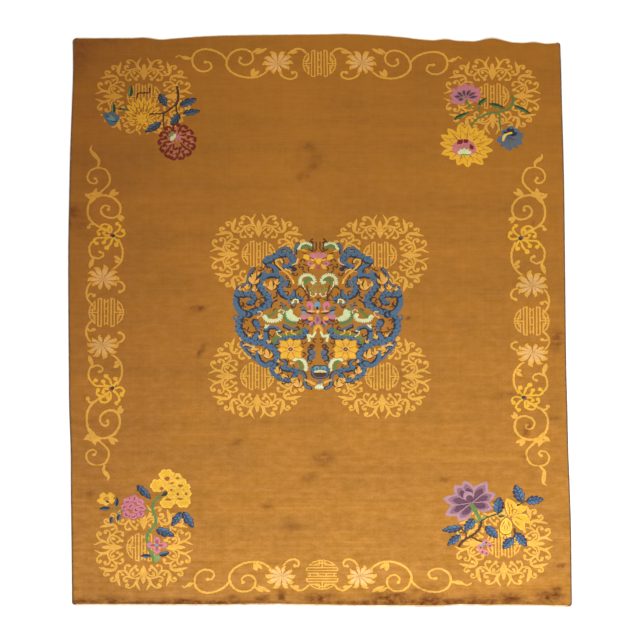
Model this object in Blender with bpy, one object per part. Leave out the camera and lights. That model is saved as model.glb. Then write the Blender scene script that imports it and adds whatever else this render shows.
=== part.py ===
"""A hand-knotted wool pile rug of nine feet by twelve, lying on the floor: the pile rug in one piece,
the wool-overcast cord along each side and the narrow cotton web at each end.

Metres, +Z up. X runs across the rug, +Y towards its far end, and the floor is at Z = 0.
"""

import math
from collections import namedtuple

import bmesh
import bpy

# Driving sizes
PILE_TOP = 0.012  # height of the pile's surface above the floor
WALL_TOP = 0.006  # height at which the side wall turns into the rounded edge of the pile
EDGE_ROUND = 0.009  # how far in from the wall the pile rounds over
CORD_RADIUS = 0.0032  # overcast side cord
WEB_WIDTH = 0.009  # cotton web beyond the pile at each end
WEB_THICKNESS = 0.0022
SEAT_GAP = 0.0003  # between pieces that lie against each other
RIPPLE_DEPTH = 0.24  # how far in from the far end a ripple fades out
COARSE_STEP = 0.11  # spacing of the mesh lines where the rug lies flat
FINE_STEP = 0.032  # and across the ripples
ROW_STEP = 0.25  # spacing of the mesh rows between the two ends
RIM_INSETS = (0.0, 0.003, 0.007, 0.013, 0.022, 0.05)  # mesh lines along every edge
FAR_INSETS = (0.085, 0.125, 0.175, RIPPLE_DEPTH)  # further rows under the ripples
CORD_SIDES = 2  # bevel resolution of a side cord

# The two side edges of the whole rug, which was never quite square
Side = namedtuple("Side", "y left right")
SIDES = [
    Side(1.83, -1.3585, 1.3320),
    Side(1.60, -1.3540, 1.3380),
    Side(1.34, -1.3589, 1.3419),
    Side(1.08, -1.3653, 1.3466),
    Side(0.82, -1.3685, 1.3497),
    Side(0.44, -1.3711, 1.3506),
    Side(0.05, -1.3676, 1.3510),
    Side(-0.33, -1.3622, 1.3522),
    Side(-0.58, -1.3580, 1.3560),
    Side(-0.84, -1.3480, 1.3588),
    Side(-1.09, -1.3450, 1.3652),
    Side(-1.34, -1.3403, 1.3701),
    Side(-1.59, -1.3358, 1.3706),
    Side(-1.83, -1.3325, 1.3711),
]

# The far end of the whole rug, without its ripples
End = namedtuple("End", "x y")
FAR_END = [
    End(-1.37, 1.7992),
    End(-1.10, 1.8002),
    End(-0.98, 1.7985),
    End(-0.88, 1.7915),
    End(-0.80, 1.7965),
    End(-0.68, 1.8080),
    End(-0.50, 1.8170),
    End(-0.25, 1.8215),
    End(0.02, 1.8243),
    End(0.17, 1.8262),
    End(0.29, 1.8205),
    End(0.45, 1.8075),
    End(0.60, 1.7875),
    End(0.75, 1.7830),
    End(0.90, 1.7775),
    End(1.05, 1.7730),
    End(1.20, 1.7650),
    End(1.37, 1.7630),
]

# The near end of the whole rug
NEAR_END = [
    End(-1.37, -1.8155),
    End(-0.95, -1.8160),
    End(-0.60, -1.8178),
    End(-0.25, -1.8140),
    End(0.10, -1.8205),
    End(0.50, -1.8240),
    End(0.66, -1.8238),
    End(0.77, -1.8165),
    End(0.90, -1.8195),
    End(1.12, -1.8200),
    End(1.37, -1.8262),
]

# Where the far end stands in ripples: a crest lifts off the floor and reaches outwards
Ripple = namedtuple("Ripple", "x half_width lift reach")
RIPPLES = [
    Ripple(-0.955, 0.080, 0.006, 0.0025),
    Ripple(0.700, 0.070, 0.009, 0.0045),
    Ripple(0.962, 0.115, 0.020, 0.0110),
    Ripple(1.190, 0.070, 0.008, 0.0040),
    Ripple(1.330, 0.055, 0.006, 0.0015),
]

# Radius of each rounded corner of the pile: which side, which end
CORNER_RADIUS = {
    ("left", "far"): 0.020,
    ("right", "far"): 0.008,
    ("left", "near"): 0.010,
    ("right", "near"): 0.012,
}

CORD_WIDTH = 2 * CORD_RADIUS + SEAT_GAP
WEB_REACH = WEB_WIDTH + SEAT_GAP

PILE_COLOUR = (0.40, 0.17, 0.03, 1.0)
CORD_COLOUR = (0.13, 0.06, 0.02, 1.0)
COTTON_COLOUR = (0.74, 0.60, 0.42, 1.0)


def clear_scene():
    for thing in list(bpy.data.objects):
        bpy.data.objects.remove(thing)


def yarn_material(name, colour, roughness):
    """Dyed yarn: no metal, and no shine to speak of."""
    material = bpy.data.materials.new(name)
    material.use_nodes = True
    shader = material.node_tree.nodes["Principled BSDF"]
    shader.inputs["Base Color"].default_value = colour
    shader.inputs["Roughness"].default_value = roughness
    shader.inputs["Metallic"].default_value = 0.0
    return material


def smooth_through(table, position, column, at):
    """A smooth curve through a table's rows, read at one place. Beyond its ends the curve stays level."""
    rows = sorted(table, key=lambda row: getattr(row, position))
    places = [getattr(row, position) for row in rows]
    values = [getattr(row, column) for row in rows]
    if at <= places[0]:
        return values[0]
    if at >= places[-1]:
        return values[-1]
    i = max(k for k in range(len(places) - 1) if places[k] <= at)

    def slope(k):
        low, high = max(k - 1, 0), min(k + 1, len(places) - 1)
        return (values[high] - values[low]) / (places[high] - places[low])

    span = places[i + 1] - places[i]
    t = (at - places[i]) / span
    return (
        values[i] * (2 * t**3 - 3 * t**2 + 1)
        + values[i + 1] * (3 * t**2 - 2 * t**3)
        + slope(i) * span * (t**3 - 2 * t**2 + t)
        + slope(i + 1) * span * (t**3 - t**2)
    )


def swell(x, ripple):
    """Share of a ripple's height at x: one at its crest, none past its half width."""
    u = (x - ripple.x) / ripple.half_width
    return 0.5 + 0.5 * math.cos(math.pi * u) if abs(u) < 1 else 0.0


def fade(inset):
    """Share of a ripple that is left this far in from the far end."""
    t = min(max(1 - inset / RIPPLE_DEPTH, 0.0), 1.0)
    return t * t * (3 - 2 * t)


def left_edge(y):
    """The pile's left wall, inside the overcast cord."""
    return smooth_through(SIDES, "y", "left", y) + CORD_WIDTH


def right_edge(y):
    return smooth_through(SIDES, "y", "right", y) - CORD_WIDTH


def near_edge(x):
    """The pile's near wall, inside the cotton web."""
    return smooth_through(NEAR_END, "x", "y", x) + WEB_REACH


def far_edge(x):
    reach = sum(ripple.reach * swell(x, ripple) for ripple in RIPPLES)
    return smooth_through(FAR_END, "x", "y", x) + reach - WEB_REACH


def lift(x, y):
    """Height of the rug's underside above the floor."""
    inset = max(far_edge(x) - y, 0.0)
    return sum(ripple.lift * swell(x, ripple) for ripple in RIPPLES) * fade(inset)


def spaced(low, high, step):
    """Evenly spaced places from low to high, no further apart than step."""
    count = max(1, math.ceil((high - low) / step))
    return [low + (high - low) * k / count for k in range(count + 1)]


def column_places():
    """Nominal x of the mesh columns: close under the ripples, wide apart elsewhere."""
    half_width = right_edge(0.0)
    inner = half_width - RIM_INSETS[-1]
    places = {round(sign * (half_width - inset), 5) for inset in RIM_INSETS for sign in (-1, 1)}
    stops = sorted({-inner, inner} | {
        min(max(edge, -inner), inner)
        for ripple in RIPPLES
        for edge in (ripple.x - ripple.half_width, ripple.x + ripple.half_width)
    })
    for low, high in zip(stops, stops[1:]):
        middle = (low + high) / 2
        rippled = any(abs(middle - ripple.x) < ripple.half_width for ripple in RIPPLES)
        places |= {round(x, 5) for x in spaced(low, high, FINE_STEP if rippled else COARSE_STEP)}
    return sorted(places)


def row_shares():
    """The mesh rows as (share of the way from the near wall to the far wall, metres to add)."""
    near = [(0.0, inset) for inset in RIM_INSETS]
    far = [(1.0, -inset) for inset in reversed(RIM_INSETS + FAR_INSETS)]
    length = far_edge(0.0) - near_edge(0.0)
    flat_from, flat_to = RIM_INSETS[-1], length - RIPPLE_DEPTH
    middle = [(y / length, 0.0) for y in spaced(flat_from, flat_to, ROW_STEP)[1:-1]]
    return near + middle + far


def rounded_corner(x, y):
    """A point of the square plan pulled in to its rounded corner, and how far it lies inside the rim."""
    left, right, near, far = left_edge(y), right_edge(y), near_edge(x), far_edge(x)
    side, side_inset = ("left", x - left) if x < 0 else ("right", right - x)
    end, end_inset = ("near", y - near) if y < 0 else ("far", far - y)
    radius = CORNER_RADIUS[side, end]
    across, along = radius - side_inset, radius - end_inset
    if across <= 0 or along <= 0:
        return x, y, min(side_inset, end_inset)
    shrink = max(across, along) / math.hypot(across, along)
    x += (1 if side == "left" else -1) * across * (1 - shrink)
    y += (1 if end == "near" else -1) * along * (1 - shrink)
    return x, y, radius - max(across, along)


def rounded_pile(inset):
    """Height of the pile's surface this far in from the rim."""
    if inset >= EDGE_ROUND:
        return PILE_TOP
    run = 1 - max(inset, 0.0) / EDGE_ROUND
    return WALL_TOP + (PILE_TOP - WALL_TOP) * math.sqrt(1 - run * run)


def square_plan():
    """The plan of the mesh, row by row from the near end, with its corners still square."""
    columns, rows = column_places(), row_shares()
    half_width = columns[-1]
    margin = RIM_INSETS[-1]

    def plan_point(nominal, share, extra):
        near, far = near_edge(nominal), far_edge(nominal)
        y = near + (far - near) * share + extra
        centre, half = (left_edge(y) + right_edge(y)) / 2, (right_edge(y) - left_edge(y)) / 2
        inset = half_width - abs(nominal)
        reach = half - inset if inset < margin else abs(nominal) * (half - margin) / (half_width - margin)
        x = centre + math.copysign(reach, nominal)
        near, far = near_edge(x), far_edge(x)
        return x, near + (far - near) * share + extra

    return [[plan_point(nominal, *row) for nominal in columns] for row in rows]


def pile_rug(plan):
    """The knotted rug in one piece: a grid of the pile's surface, extruded down to its underside."""
    bm = bmesh.new()
    grid = [[bm.verts.new((x, y, rounded_pile(depth) + lift(x, y))) for x, y, depth in row] for row in plan]
    for low, high in zip(grid, grid[1:]):
        for k in range(len(low) - 1):
            bm.faces.new((low[k], low[k + 1], high[k + 1], high[k]))
    surface = list(bm.faces)
    grown = bmesh.ops.extrude_face_region(bm, geom=surface, use_keep_orig=True)
    for vert in (item for item in grown["geom"] if isinstance(item, bmesh.types.BMVert)):
        vert.co.z = lift(vert.co.x, vert.co.y)
    bmesh.ops.recalc_face_normals(bm, faces=bm.faces)
    mesh = bpy.data.meshes.new("pile_rug")
    bm.to_mesh(mesh)
    bm.free()
    mesh.shade_smooth()
    mesh.set_sharp_from_angle(angle=math.radians(50))
    return bpy.data.objects.new("pile_rug", mesh)


def past_corner(side, end):
    """How many mesh lines in from a side the rug's end is straight, past the rounded corner."""
    return next(k for k, inset in enumerate(RIM_INSETS) if inset > CORNER_RADIUS[side, end])


def offset_line(line, distance):
    """A line of plan points moved sideways, to the left of its run for a distance above zero."""
    moved = []
    for k, (x, y) in enumerate(line):
        before, after = line[max(k - 1, 0)], line[min(k + 1, len(line) - 1)]
        into = math.atan2(y - before[1], x - before[0]) if k > 0 else None
        onward = math.atan2(after[1] - y, after[0] - x) if k < len(line) - 1 else into
        into = onward if into is None else into
        bend = (onward - into + math.pi) % (2 * math.pi) - math.pi
        normal = into + bend / 2 + math.pi / 2
        miter = distance / math.cos(bend / 2)
        moved.append((x + miter * math.cos(normal), y + miter * math.sin(normal)))
    return moved


def side_cord(side, plan):
    """The wool-overcast cord along one side, turned in round both corners."""
    near_row, far_row = (plan[0], plan[-1]) if side == "left" else (plan[0][::-1], plan[-1][::-1])
    column = 0 if side == "left" else -1
    near_turn = near_row[1 : past_corner(side, "near") + 1][::-1]
    far_turn = far_row[1 : past_corner(side, "far") + 1]
    rim = [point[:2] for point in (*near_turn, *(row[column] for row in plan), *far_turn)]
    out = 1 if side == "left" else -1
    line = offset_line(rim, out * (SEAT_GAP + CORD_RADIUS))
    curve = bpy.data.curves.new(f"side_cord_{side}", "CURVE")
    curve.dimensions = "3D"
    curve.bevel_depth = CORD_RADIUS
    curve.bevel_resolution = CORD_SIDES
    curve.use_fill_caps = True
    spline = curve.splines.new("POLY")
    spline.points.add(len(line) - 1)
    for point, (x, y), place in zip(spline.points, line, rim):
        point.co = (x, y, CORD_RADIUS + lift(*place), 1.0)
    return bpy.data.objects.new(f"side_cord_{side}", curve)


def end_web(end, plan):
    """The flat cotton web beyond the pile at one end, between the two cords' turned-in ends."""
    row, out = (plan[0], -1) if end == "near" else (plan[-1], 1)
    edge_of = near_edge if end == "near" else far_edge
    rim = [x for x, y, depth in row[past_corner("left", end) : len(row) - past_corner("right", end)]]
    rim[0] += SEAT_GAP
    rim[-1] -= SEAT_GAP
    section = ((SEAT_GAP, 0.0), (WEB_REACH, 0.0), (WEB_REACH, WEB_THICKNESS), (SEAT_GAP, WEB_THICKNESS))
    bm = bmesh.new()
    ribs = []
    for x in rim:
        wall = edge_of(x)
        ribs.append([bm.verts.new((x, wall + out * across, z + lift(x, wall))) for across, z in section])
    for rib, other in zip(ribs, ribs[1:]):
        for k in range(4):
            bm.faces.new((rib[k], rib[(k + 1) % 4], other[(k + 1) % 4], other[k]))
    bm.faces.new(ribs[0])
    bm.faces.new(ribs[-1])
    bmesh.ops.recalc_face_normals(bm, faces=bm.faces)
    mesh = bpy.data.meshes.new(f"end_web_{end}")
    bm.to_mesh(mesh)
    bm.free()
    return bpy.data.objects.new(f"end_web_{end}", mesh)


def main():
    clear_scene()
    wool = yarn_material("gold_wool_pile", PILE_COLOUR, 0.9)
    overcast = yarn_material("brown_wool_overcast", CORD_COLOUR, 0.85)
    cotton = yarn_material("cream_cotton_web", COTTON_COLOUR, 0.9)
    plan = [[rounded_corner(x, y) for x, y in row] for row in square_plan()]
    pieces = [
        (pile_rug(plan), wool),
        (side_cord("left", plan), overcast),
        (side_cord("right", plan), overcast),
        (end_web("far", plan), cotton),
        (end_web("near", plan), cotton),
    ]
    for piece, material in pieces:
        piece.data.materials.append(material)
        bpy.context.scene.collection.objects.link(piece)


main()
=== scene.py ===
"""The looks of a hand-knotted wool rug: its pile, the figures knotted into it, its side cords and end webs.

The figures are laid out in centimetres on the rug, with x across it and y towards its far end. All else is
in metres, in the frame of the CAD model.
"""

import math
from collections import defaultdict, namedtuple

import bpy
import numpy as np
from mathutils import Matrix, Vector
from mathutils.geometry import delaunay_2d_cdt


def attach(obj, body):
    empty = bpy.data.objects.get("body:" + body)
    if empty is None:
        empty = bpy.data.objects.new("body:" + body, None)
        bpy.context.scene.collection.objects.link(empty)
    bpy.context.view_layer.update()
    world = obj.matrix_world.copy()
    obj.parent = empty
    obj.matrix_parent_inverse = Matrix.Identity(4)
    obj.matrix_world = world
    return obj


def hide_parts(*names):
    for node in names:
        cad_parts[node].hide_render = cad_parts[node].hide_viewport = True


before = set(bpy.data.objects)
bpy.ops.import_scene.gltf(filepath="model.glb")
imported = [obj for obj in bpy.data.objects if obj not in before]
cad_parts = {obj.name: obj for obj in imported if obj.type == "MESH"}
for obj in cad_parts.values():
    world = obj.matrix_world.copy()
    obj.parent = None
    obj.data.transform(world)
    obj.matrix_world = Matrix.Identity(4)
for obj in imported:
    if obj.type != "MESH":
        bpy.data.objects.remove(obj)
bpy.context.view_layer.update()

CM = 0.01

# ---------------------------------------------------------------- the rug's plan and height
PILE_TOP = 0.012
WALL_TOP = 0.006
EDGE_ROUND = 0.009
CORD_RADIUS = 0.0032
WEB_WIDTH = 0.009
WEB_THICKNESS = 0.0022
SEAT_GAP = 0.0003
RIPPLE_DEPTH = 0.24

# The two side edges of the whole rug: y, left x, right x
SIDES = np.array([
    (-1.83, -1.3325, 1.3711), (-1.59, -1.3358, 1.3706), (-1.34, -1.3403, 1.3701),
    (-1.09, -1.3450, 1.3652), (-0.84, -1.3480, 1.3588), (-0.58, -1.3580, 1.3560),
    (-0.33, -1.3622, 1.3522), (0.05, -1.3676, 1.3510), (0.44, -1.3711, 1.3506), (0.82, -1.3685, 1.3497),
    (1.08, -1.3653, 1.3466), (1.34, -1.3589, 1.3419), (1.60, -1.3540, 1.3380), (1.83, -1.3585, 1.3320),
])

# The far end of the whole rug without its ripples: x, y
FAR_END = np.array([
    (-1.37, 1.7992), (-1.10, 1.8002), (-0.98, 1.7985), (-0.88, 1.7915), (-0.80, 1.7965), (-0.68, 1.8080),
    (-0.50, 1.8170), (-0.25, 1.8215), (0.02, 1.8243), (0.17, 1.8262), (0.29, 1.8205), (0.45, 1.8075),
    (0.60, 1.7875), (0.75, 1.7830), (0.90, 1.7775), (1.05, 1.7730), (1.20, 1.7650), (1.37, 1.7630),
])

# The near end of the whole rug: x, y
NEAR_END = np.array([
    (-1.37, -1.8155), (-0.95, -1.8160), (-0.60, -1.8178), (-0.25, -1.8140), (0.10, -1.8205),
    (0.50, -1.8240), (0.66, -1.8238), (0.77, -1.8165), (0.90, -1.8195), (1.12, -1.8200), (1.37, -1.8262),
])

Ripple = namedtuple("Ripple", "x half_width lift reach")
RIPPLES = [
    Ripple(-0.955, 0.080, 0.006, 0.0025), Ripple(0.700, 0.070, 0.009, 0.0045),
    Ripple(0.962, 0.115, 0.020, 0.0110), Ripple(1.190, 0.070, 0.008, 0.0040),
    Ripple(1.330, 0.055, 0.006, 0.0015),
]

CORNER_RADIUS = {
    ("left", "far"): 0.020,
    ("right", "far"): 0.008,
    ("left", "near"): 0.010,
    ("right", "near"): 0.012,
}
CORD_WIDTH = 2 * CORD_RADIUS + SEAT_GAP
WEB_REACH = WEB_WIDTH + SEAT_GAP


def curve_through(places, values, at):
    """A smooth curve through a table's values, read at many places at once and level beyond its ends."""
    at = np.clip(np.asarray(at, float), places[0], places[-1])
    slopes = np.empty(len(places))
    slopes[1:-1] = (values[2:] - values[:-2]) / (places[2:] - places[:-2])
    slopes[0] = (values[1] - values[0]) / (places[1] - places[0])
    slopes[-1] = (values[-1] - values[-2]) / (places[-1] - places[-2])
    i = np.clip(np.searchsorted(places, at, side="right") - 1, 0, len(places) - 2)
    span = places[i + 1] - places[i]
    t = (at - places[i]) / span
    return (
        values[i] * (2 * t**3 - 3 * t**2 + 1)
        + values[i + 1] * (3 * t**2 - 2 * t**3)
        + slopes[i] * span * (t**3 - 2 * t**2 + t)
        + slopes[i + 1] * span * (t**3 - t**2)
    )


def left_edge(y):
    return curve_through(SIDES[:, 0], SIDES[:, 1], y) + CORD_WIDTH


def right_edge(y):
    return curve_through(SIDES[:, 0], SIDES[:, 2], y) - CORD_WIDTH


def near_edge(x):
    return curve_through(NEAR_END[:, 0], NEAR_END[:, 1], x) + WEB_REACH


def swell(x, ripple):
    u = np.clip((np.asarray(x, float) - ripple.x) / ripple.half_width, -1, 1)
    return 0.5 + 0.5 * np.cos(math.pi * u)


def far_edge(x):
    reach = sum(ripple.reach * swell(x, ripple) for ripple in RIPPLES)
    return curve_through(FAR_END[:, 0], FAR_END[:, 1], x) + reach - WEB_REACH


def lift(x, y):
    """Height of the rug's underside above the floor."""
    inset = np.maximum(far_edge(x) - y, 0.0)
    t = np.clip(1 - inset / RIPPLE_DEPTH, 0, 1)
    return sum(ripple.lift * swell(x, ripple) for ripple in RIPPLES) * t * t * (3 - 2 * t)


def rim_inset(x, y):
    """How far a point of the pile lies inside its nearest wall."""
    sides = np.minimum(x - left_edge(y), right_edge(y) - x)
    ends = np.minimum(y - near_edge(x), far_edge(x) - y)
    return np.minimum(sides, ends)


# Long soft swells of the pile: how many to the metre across and along, height, and where they start
SWELLS = [
    (0.9, 1.3, 0.00045, 0.3), (1.9, -0.8, 0.00035, 1.7), (-1.2, 2.3, 0.0003, 4.1), (3.1, 2.0, 0.0002, 2.2),
]


def pile_surface(x, y):
    """Height of the pile's surface away from its rounded rim."""
    wave = sum(h * np.sin(2 * math.pi * (a * x + b * y) + start) for a, b, h, start in SWELLS)
    calm = np.clip(rim_inset(x, y) / 0.08, 0, 1)
    return PILE_TOP + lift(x, y) + wave * calm


# ---------------------------------------------------------------- wear, soil and painted shade
# What is left of a yarn's red, green and blue where it is fully soiled, and where it is fully in painted
# shade
SOIL_AND_SHADE_TINT = (0.33, 0.2, 0.1)
# Worn and soiled places, and painted shade: the marks at the far left and along the near end are partly
# painted shade.
# Each has x, y, half length, half width in cm, turn in degrees, and how dark
Mark = namedtuple("Mark", "x y length width turn dark")
SOIL_AND_SHADE_MARKS = [Mark(*row) for row in (
    (-134.5, 67, 5.5, 3.4, 90, 0.75), (-136, 59, 3.0, 1.6, 90, 0.6), (-131, 63, 10, 7, 80, 0.3),
    (-134, 168, 22, 9, 80, 0.4), (-126, 179, 26, 5, 0, 0.3), (-65, 5.6, 6.5, 0.7, 0, 0.55),
    (-66, 3.8, 4.0, 0.5, 0, 0.4), (-64, -22, 6.0, 1.6, 65, 0.5), (49.5, -1.5, 1.0, 1.0, 0, 0.6),
    (113.5, -72, 4.5, 1.6, 85, 0.6), (112, -89, 2.0, 1.4, 90, 0.5), (130, -15, 8.0, 4.5, 80, 0.45),
    (104, -50, 8.0, 1.6, 0, 0.35), (128, -65, 4.0, 1.4, 0, 0.35), (69, -103, 2.6, 2.2, 0, 0.45),
    (131.5, -157.5, 2.0, 1.6, 0, 0.6), (128.5, -171, 3.0, 1.8, 0, 0.6), (-5, 109, 4.0, 3.0, 0, 0.4),
    (-8, 90, 5.0, 2.6, 30, 0.35), (-2, 98, 8.0, 4.0, 70, 0.25), (-45, -80, 4.0, 2.0, 20, 0.35),
    (3, -90, 7.0, 5.0, 20, 0.35), (-5, -102, 5.0, 3.0, 0, 0.35), (-28, -120, 4.0, 3.0, 0, 0.35),
    (-15, -133, 6.0, 4.0, 0, 0.3), (-124, -112, 4.0, 2.5, 60, 0.3), (118, 60, 2.0, 1.4, 0, 0.4),
    (-127, -180, 9, 2.2, 0, 0.6), (-90, -180, 4, 1.6, 0, 0.5), (-46, -178.5, 5, 3.0, 0, 0.7),
    (-30, -178.5, 5, 2.8, 0, 0.65), (-20, -176.5, 2.6, 5.0, 0, 0.65), (0, -178, 11, 3.8, 0, 0.7),
    (39, -177.5, 13, 4.2, 0, 0.7), (62, -178, 8, 3.8, 0, 0.7), (102, -178, 11, 4.0, 0, 0.65),
    (125, -176.5, 9, 5.5, 0, 0.7), (-112, -179, 10, 2.6, 0, 0.6), (-72, -180, 12, 2.4, 0, 0.62),
    (-70, -180.6, 66, 2.2, 0, 0.6), (60, -180.4, 76, 2.4, 0, 0.6), (84, -179, 12, 3.2, 0, 0.5),
    (58, -172, 10, 3.0, 10, 0.3),
)]


def soil_and_shade(x, y):
    """Share of soil and painted shade on the pile at a place, from nought to one."""
    dark = np.zeros_like(x)
    for mark in SOIL_AND_SHADE_MARKS:
        c, s = math.cos(math.radians(mark.turn)), math.sin(math.radians(mark.turn))
        dx, dy = x / CM - mark.x, y / CM - mark.y
        along, across = (dx * c + dy * s) / mark.length, (dy * c - dx * s) / mark.width
        dark = np.maximum(dark, min(1.6 * mark.dark, 0.96) * np.exp(-1.2 * (along**2 + across**2) ** 1.5))
    return dark


# ---------------------------------------------------------------- yarns, their finish and the pile's painted light and shade
def sRGB(red, green, blue):
    """A colour given as it looks on a screen, 0 to 255."""
    channels = (red / 255, green / 255, blue / 255)
    return tuple(v / 12.92 if v <= 0.04045 else ((v + 0.055) / 1.055) ** 2.4 for v in channels) + (1.0,)


YARNS = {yarn: sRGB(*colour) for yarn, colour in {
    "field": (160, 102, 24), "gold": (211, 154, 60), "peach": (212, 162, 102), "yellow": (218, 163, 42),
    "lemon": (226, 182, 74), "cream": (197, 204, 168), "blue": (72, 98, 131), "azure": (74, 101, 136),
    "indigo": (54, 62, 98), "sky": (104, 138, 160), "slate": (84, 96, 116), "navy": (38, 40, 58),
    "green": (92, 116, 62), "sage": (112, 140, 84), "forest": (46, 62, 44), "pink": (186, 112, 120),
    "orchid": (188, 112, 136), "rose": (156, 74, 84), "crimson": (112, 30, 16), "mauve": (160, 118, 134),
    "heather": (130, 90, 108), "plum": (92, 56, 76), "amber": (180, 118, 34), "umber": (144, 82, 24),
    "brown": (78, 44, 24),
}.items()}


def node(tree, kind, **settings):
    new = tree.nodes.new(kind)
    for name, value in settings.items():
        setattr(new, name, value)
    return new


def group_tree(name, inputs, outputs):
    """An empty shader node group with named sockets: (name, kind, value)."""
    tree = bpy.data.node_groups.new(name, "ShaderNodeTree")
    for title, kind, value in inputs:
        socket = tree.interface.new_socket(title, in_out="INPUT", socket_type=kind)
        socket.default_value = value
    for title, kind in outputs:
        tree.interface.new_socket(title, in_out="OUTPUT", socket_type=kind)
    return tree, node(tree, "NodeGroupInput"), node(tree, "NodeGroupOutput")


def math_node(tree, operation, first, second=None, third=None):
    """A Math node fed with sockets or numbers. Gives its output."""
    new = node(tree, "ShaderNodeMath", operation=operation)
    for socket, value in zip(new.inputs, (first, second, third)):
        if value is None:
            continue
        if isinstance(value, (int, float)):
            socket.default_value = value
        else:
            tree.links.new(value, socket)
    return new.outputs[0]


def stretched_noise(tree, place, across, along, detail=2.0, roughness=0.5):
    """Noise with so many features to the metre across and along the rug. Gives a value round one half."""
    scaled = node(tree, "ShaderNodeVectorMath", operation="MULTIPLY")
    tree.links.new(place, scaled.inputs[0])
    scaled.inputs[1].default_value = (across, along, 1.0)
    noise = node(tree, "ShaderNodeTexNoise", noise_dimensions="2D")
    noise.inputs["Scale"].default_value = 1.0
    noise.inputs["Detail"].default_value = detail
    noise.inputs["Roughness"].default_value = roughness
    tree.links.new(scaled.outputs[0], noise.inputs["Vector"])
    return noise.outputs["Fac"]


# Painted light and shade: what each yarn is multiplied by at the far end, painted darker, at the near end,
# painted lighter, and again at the left side, where it is partly painted shade and partly uneven dye; and the
# grey of painted sheen that grows towards the near end, and the grey that mottling adds to it
FAR_PAINTED_SHADE = (0.835, 0.785, 0.60)
NEAR_PAINTED_LIGHT = (1.17, 1.24, 1.13)
LEFT_PAINTED_SHADE_AND_DYE = (0.75, 0.68, 0.56)
PAINTED_SHEEN = 0.014
MOTTLE_VEIL = 0.026


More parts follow.
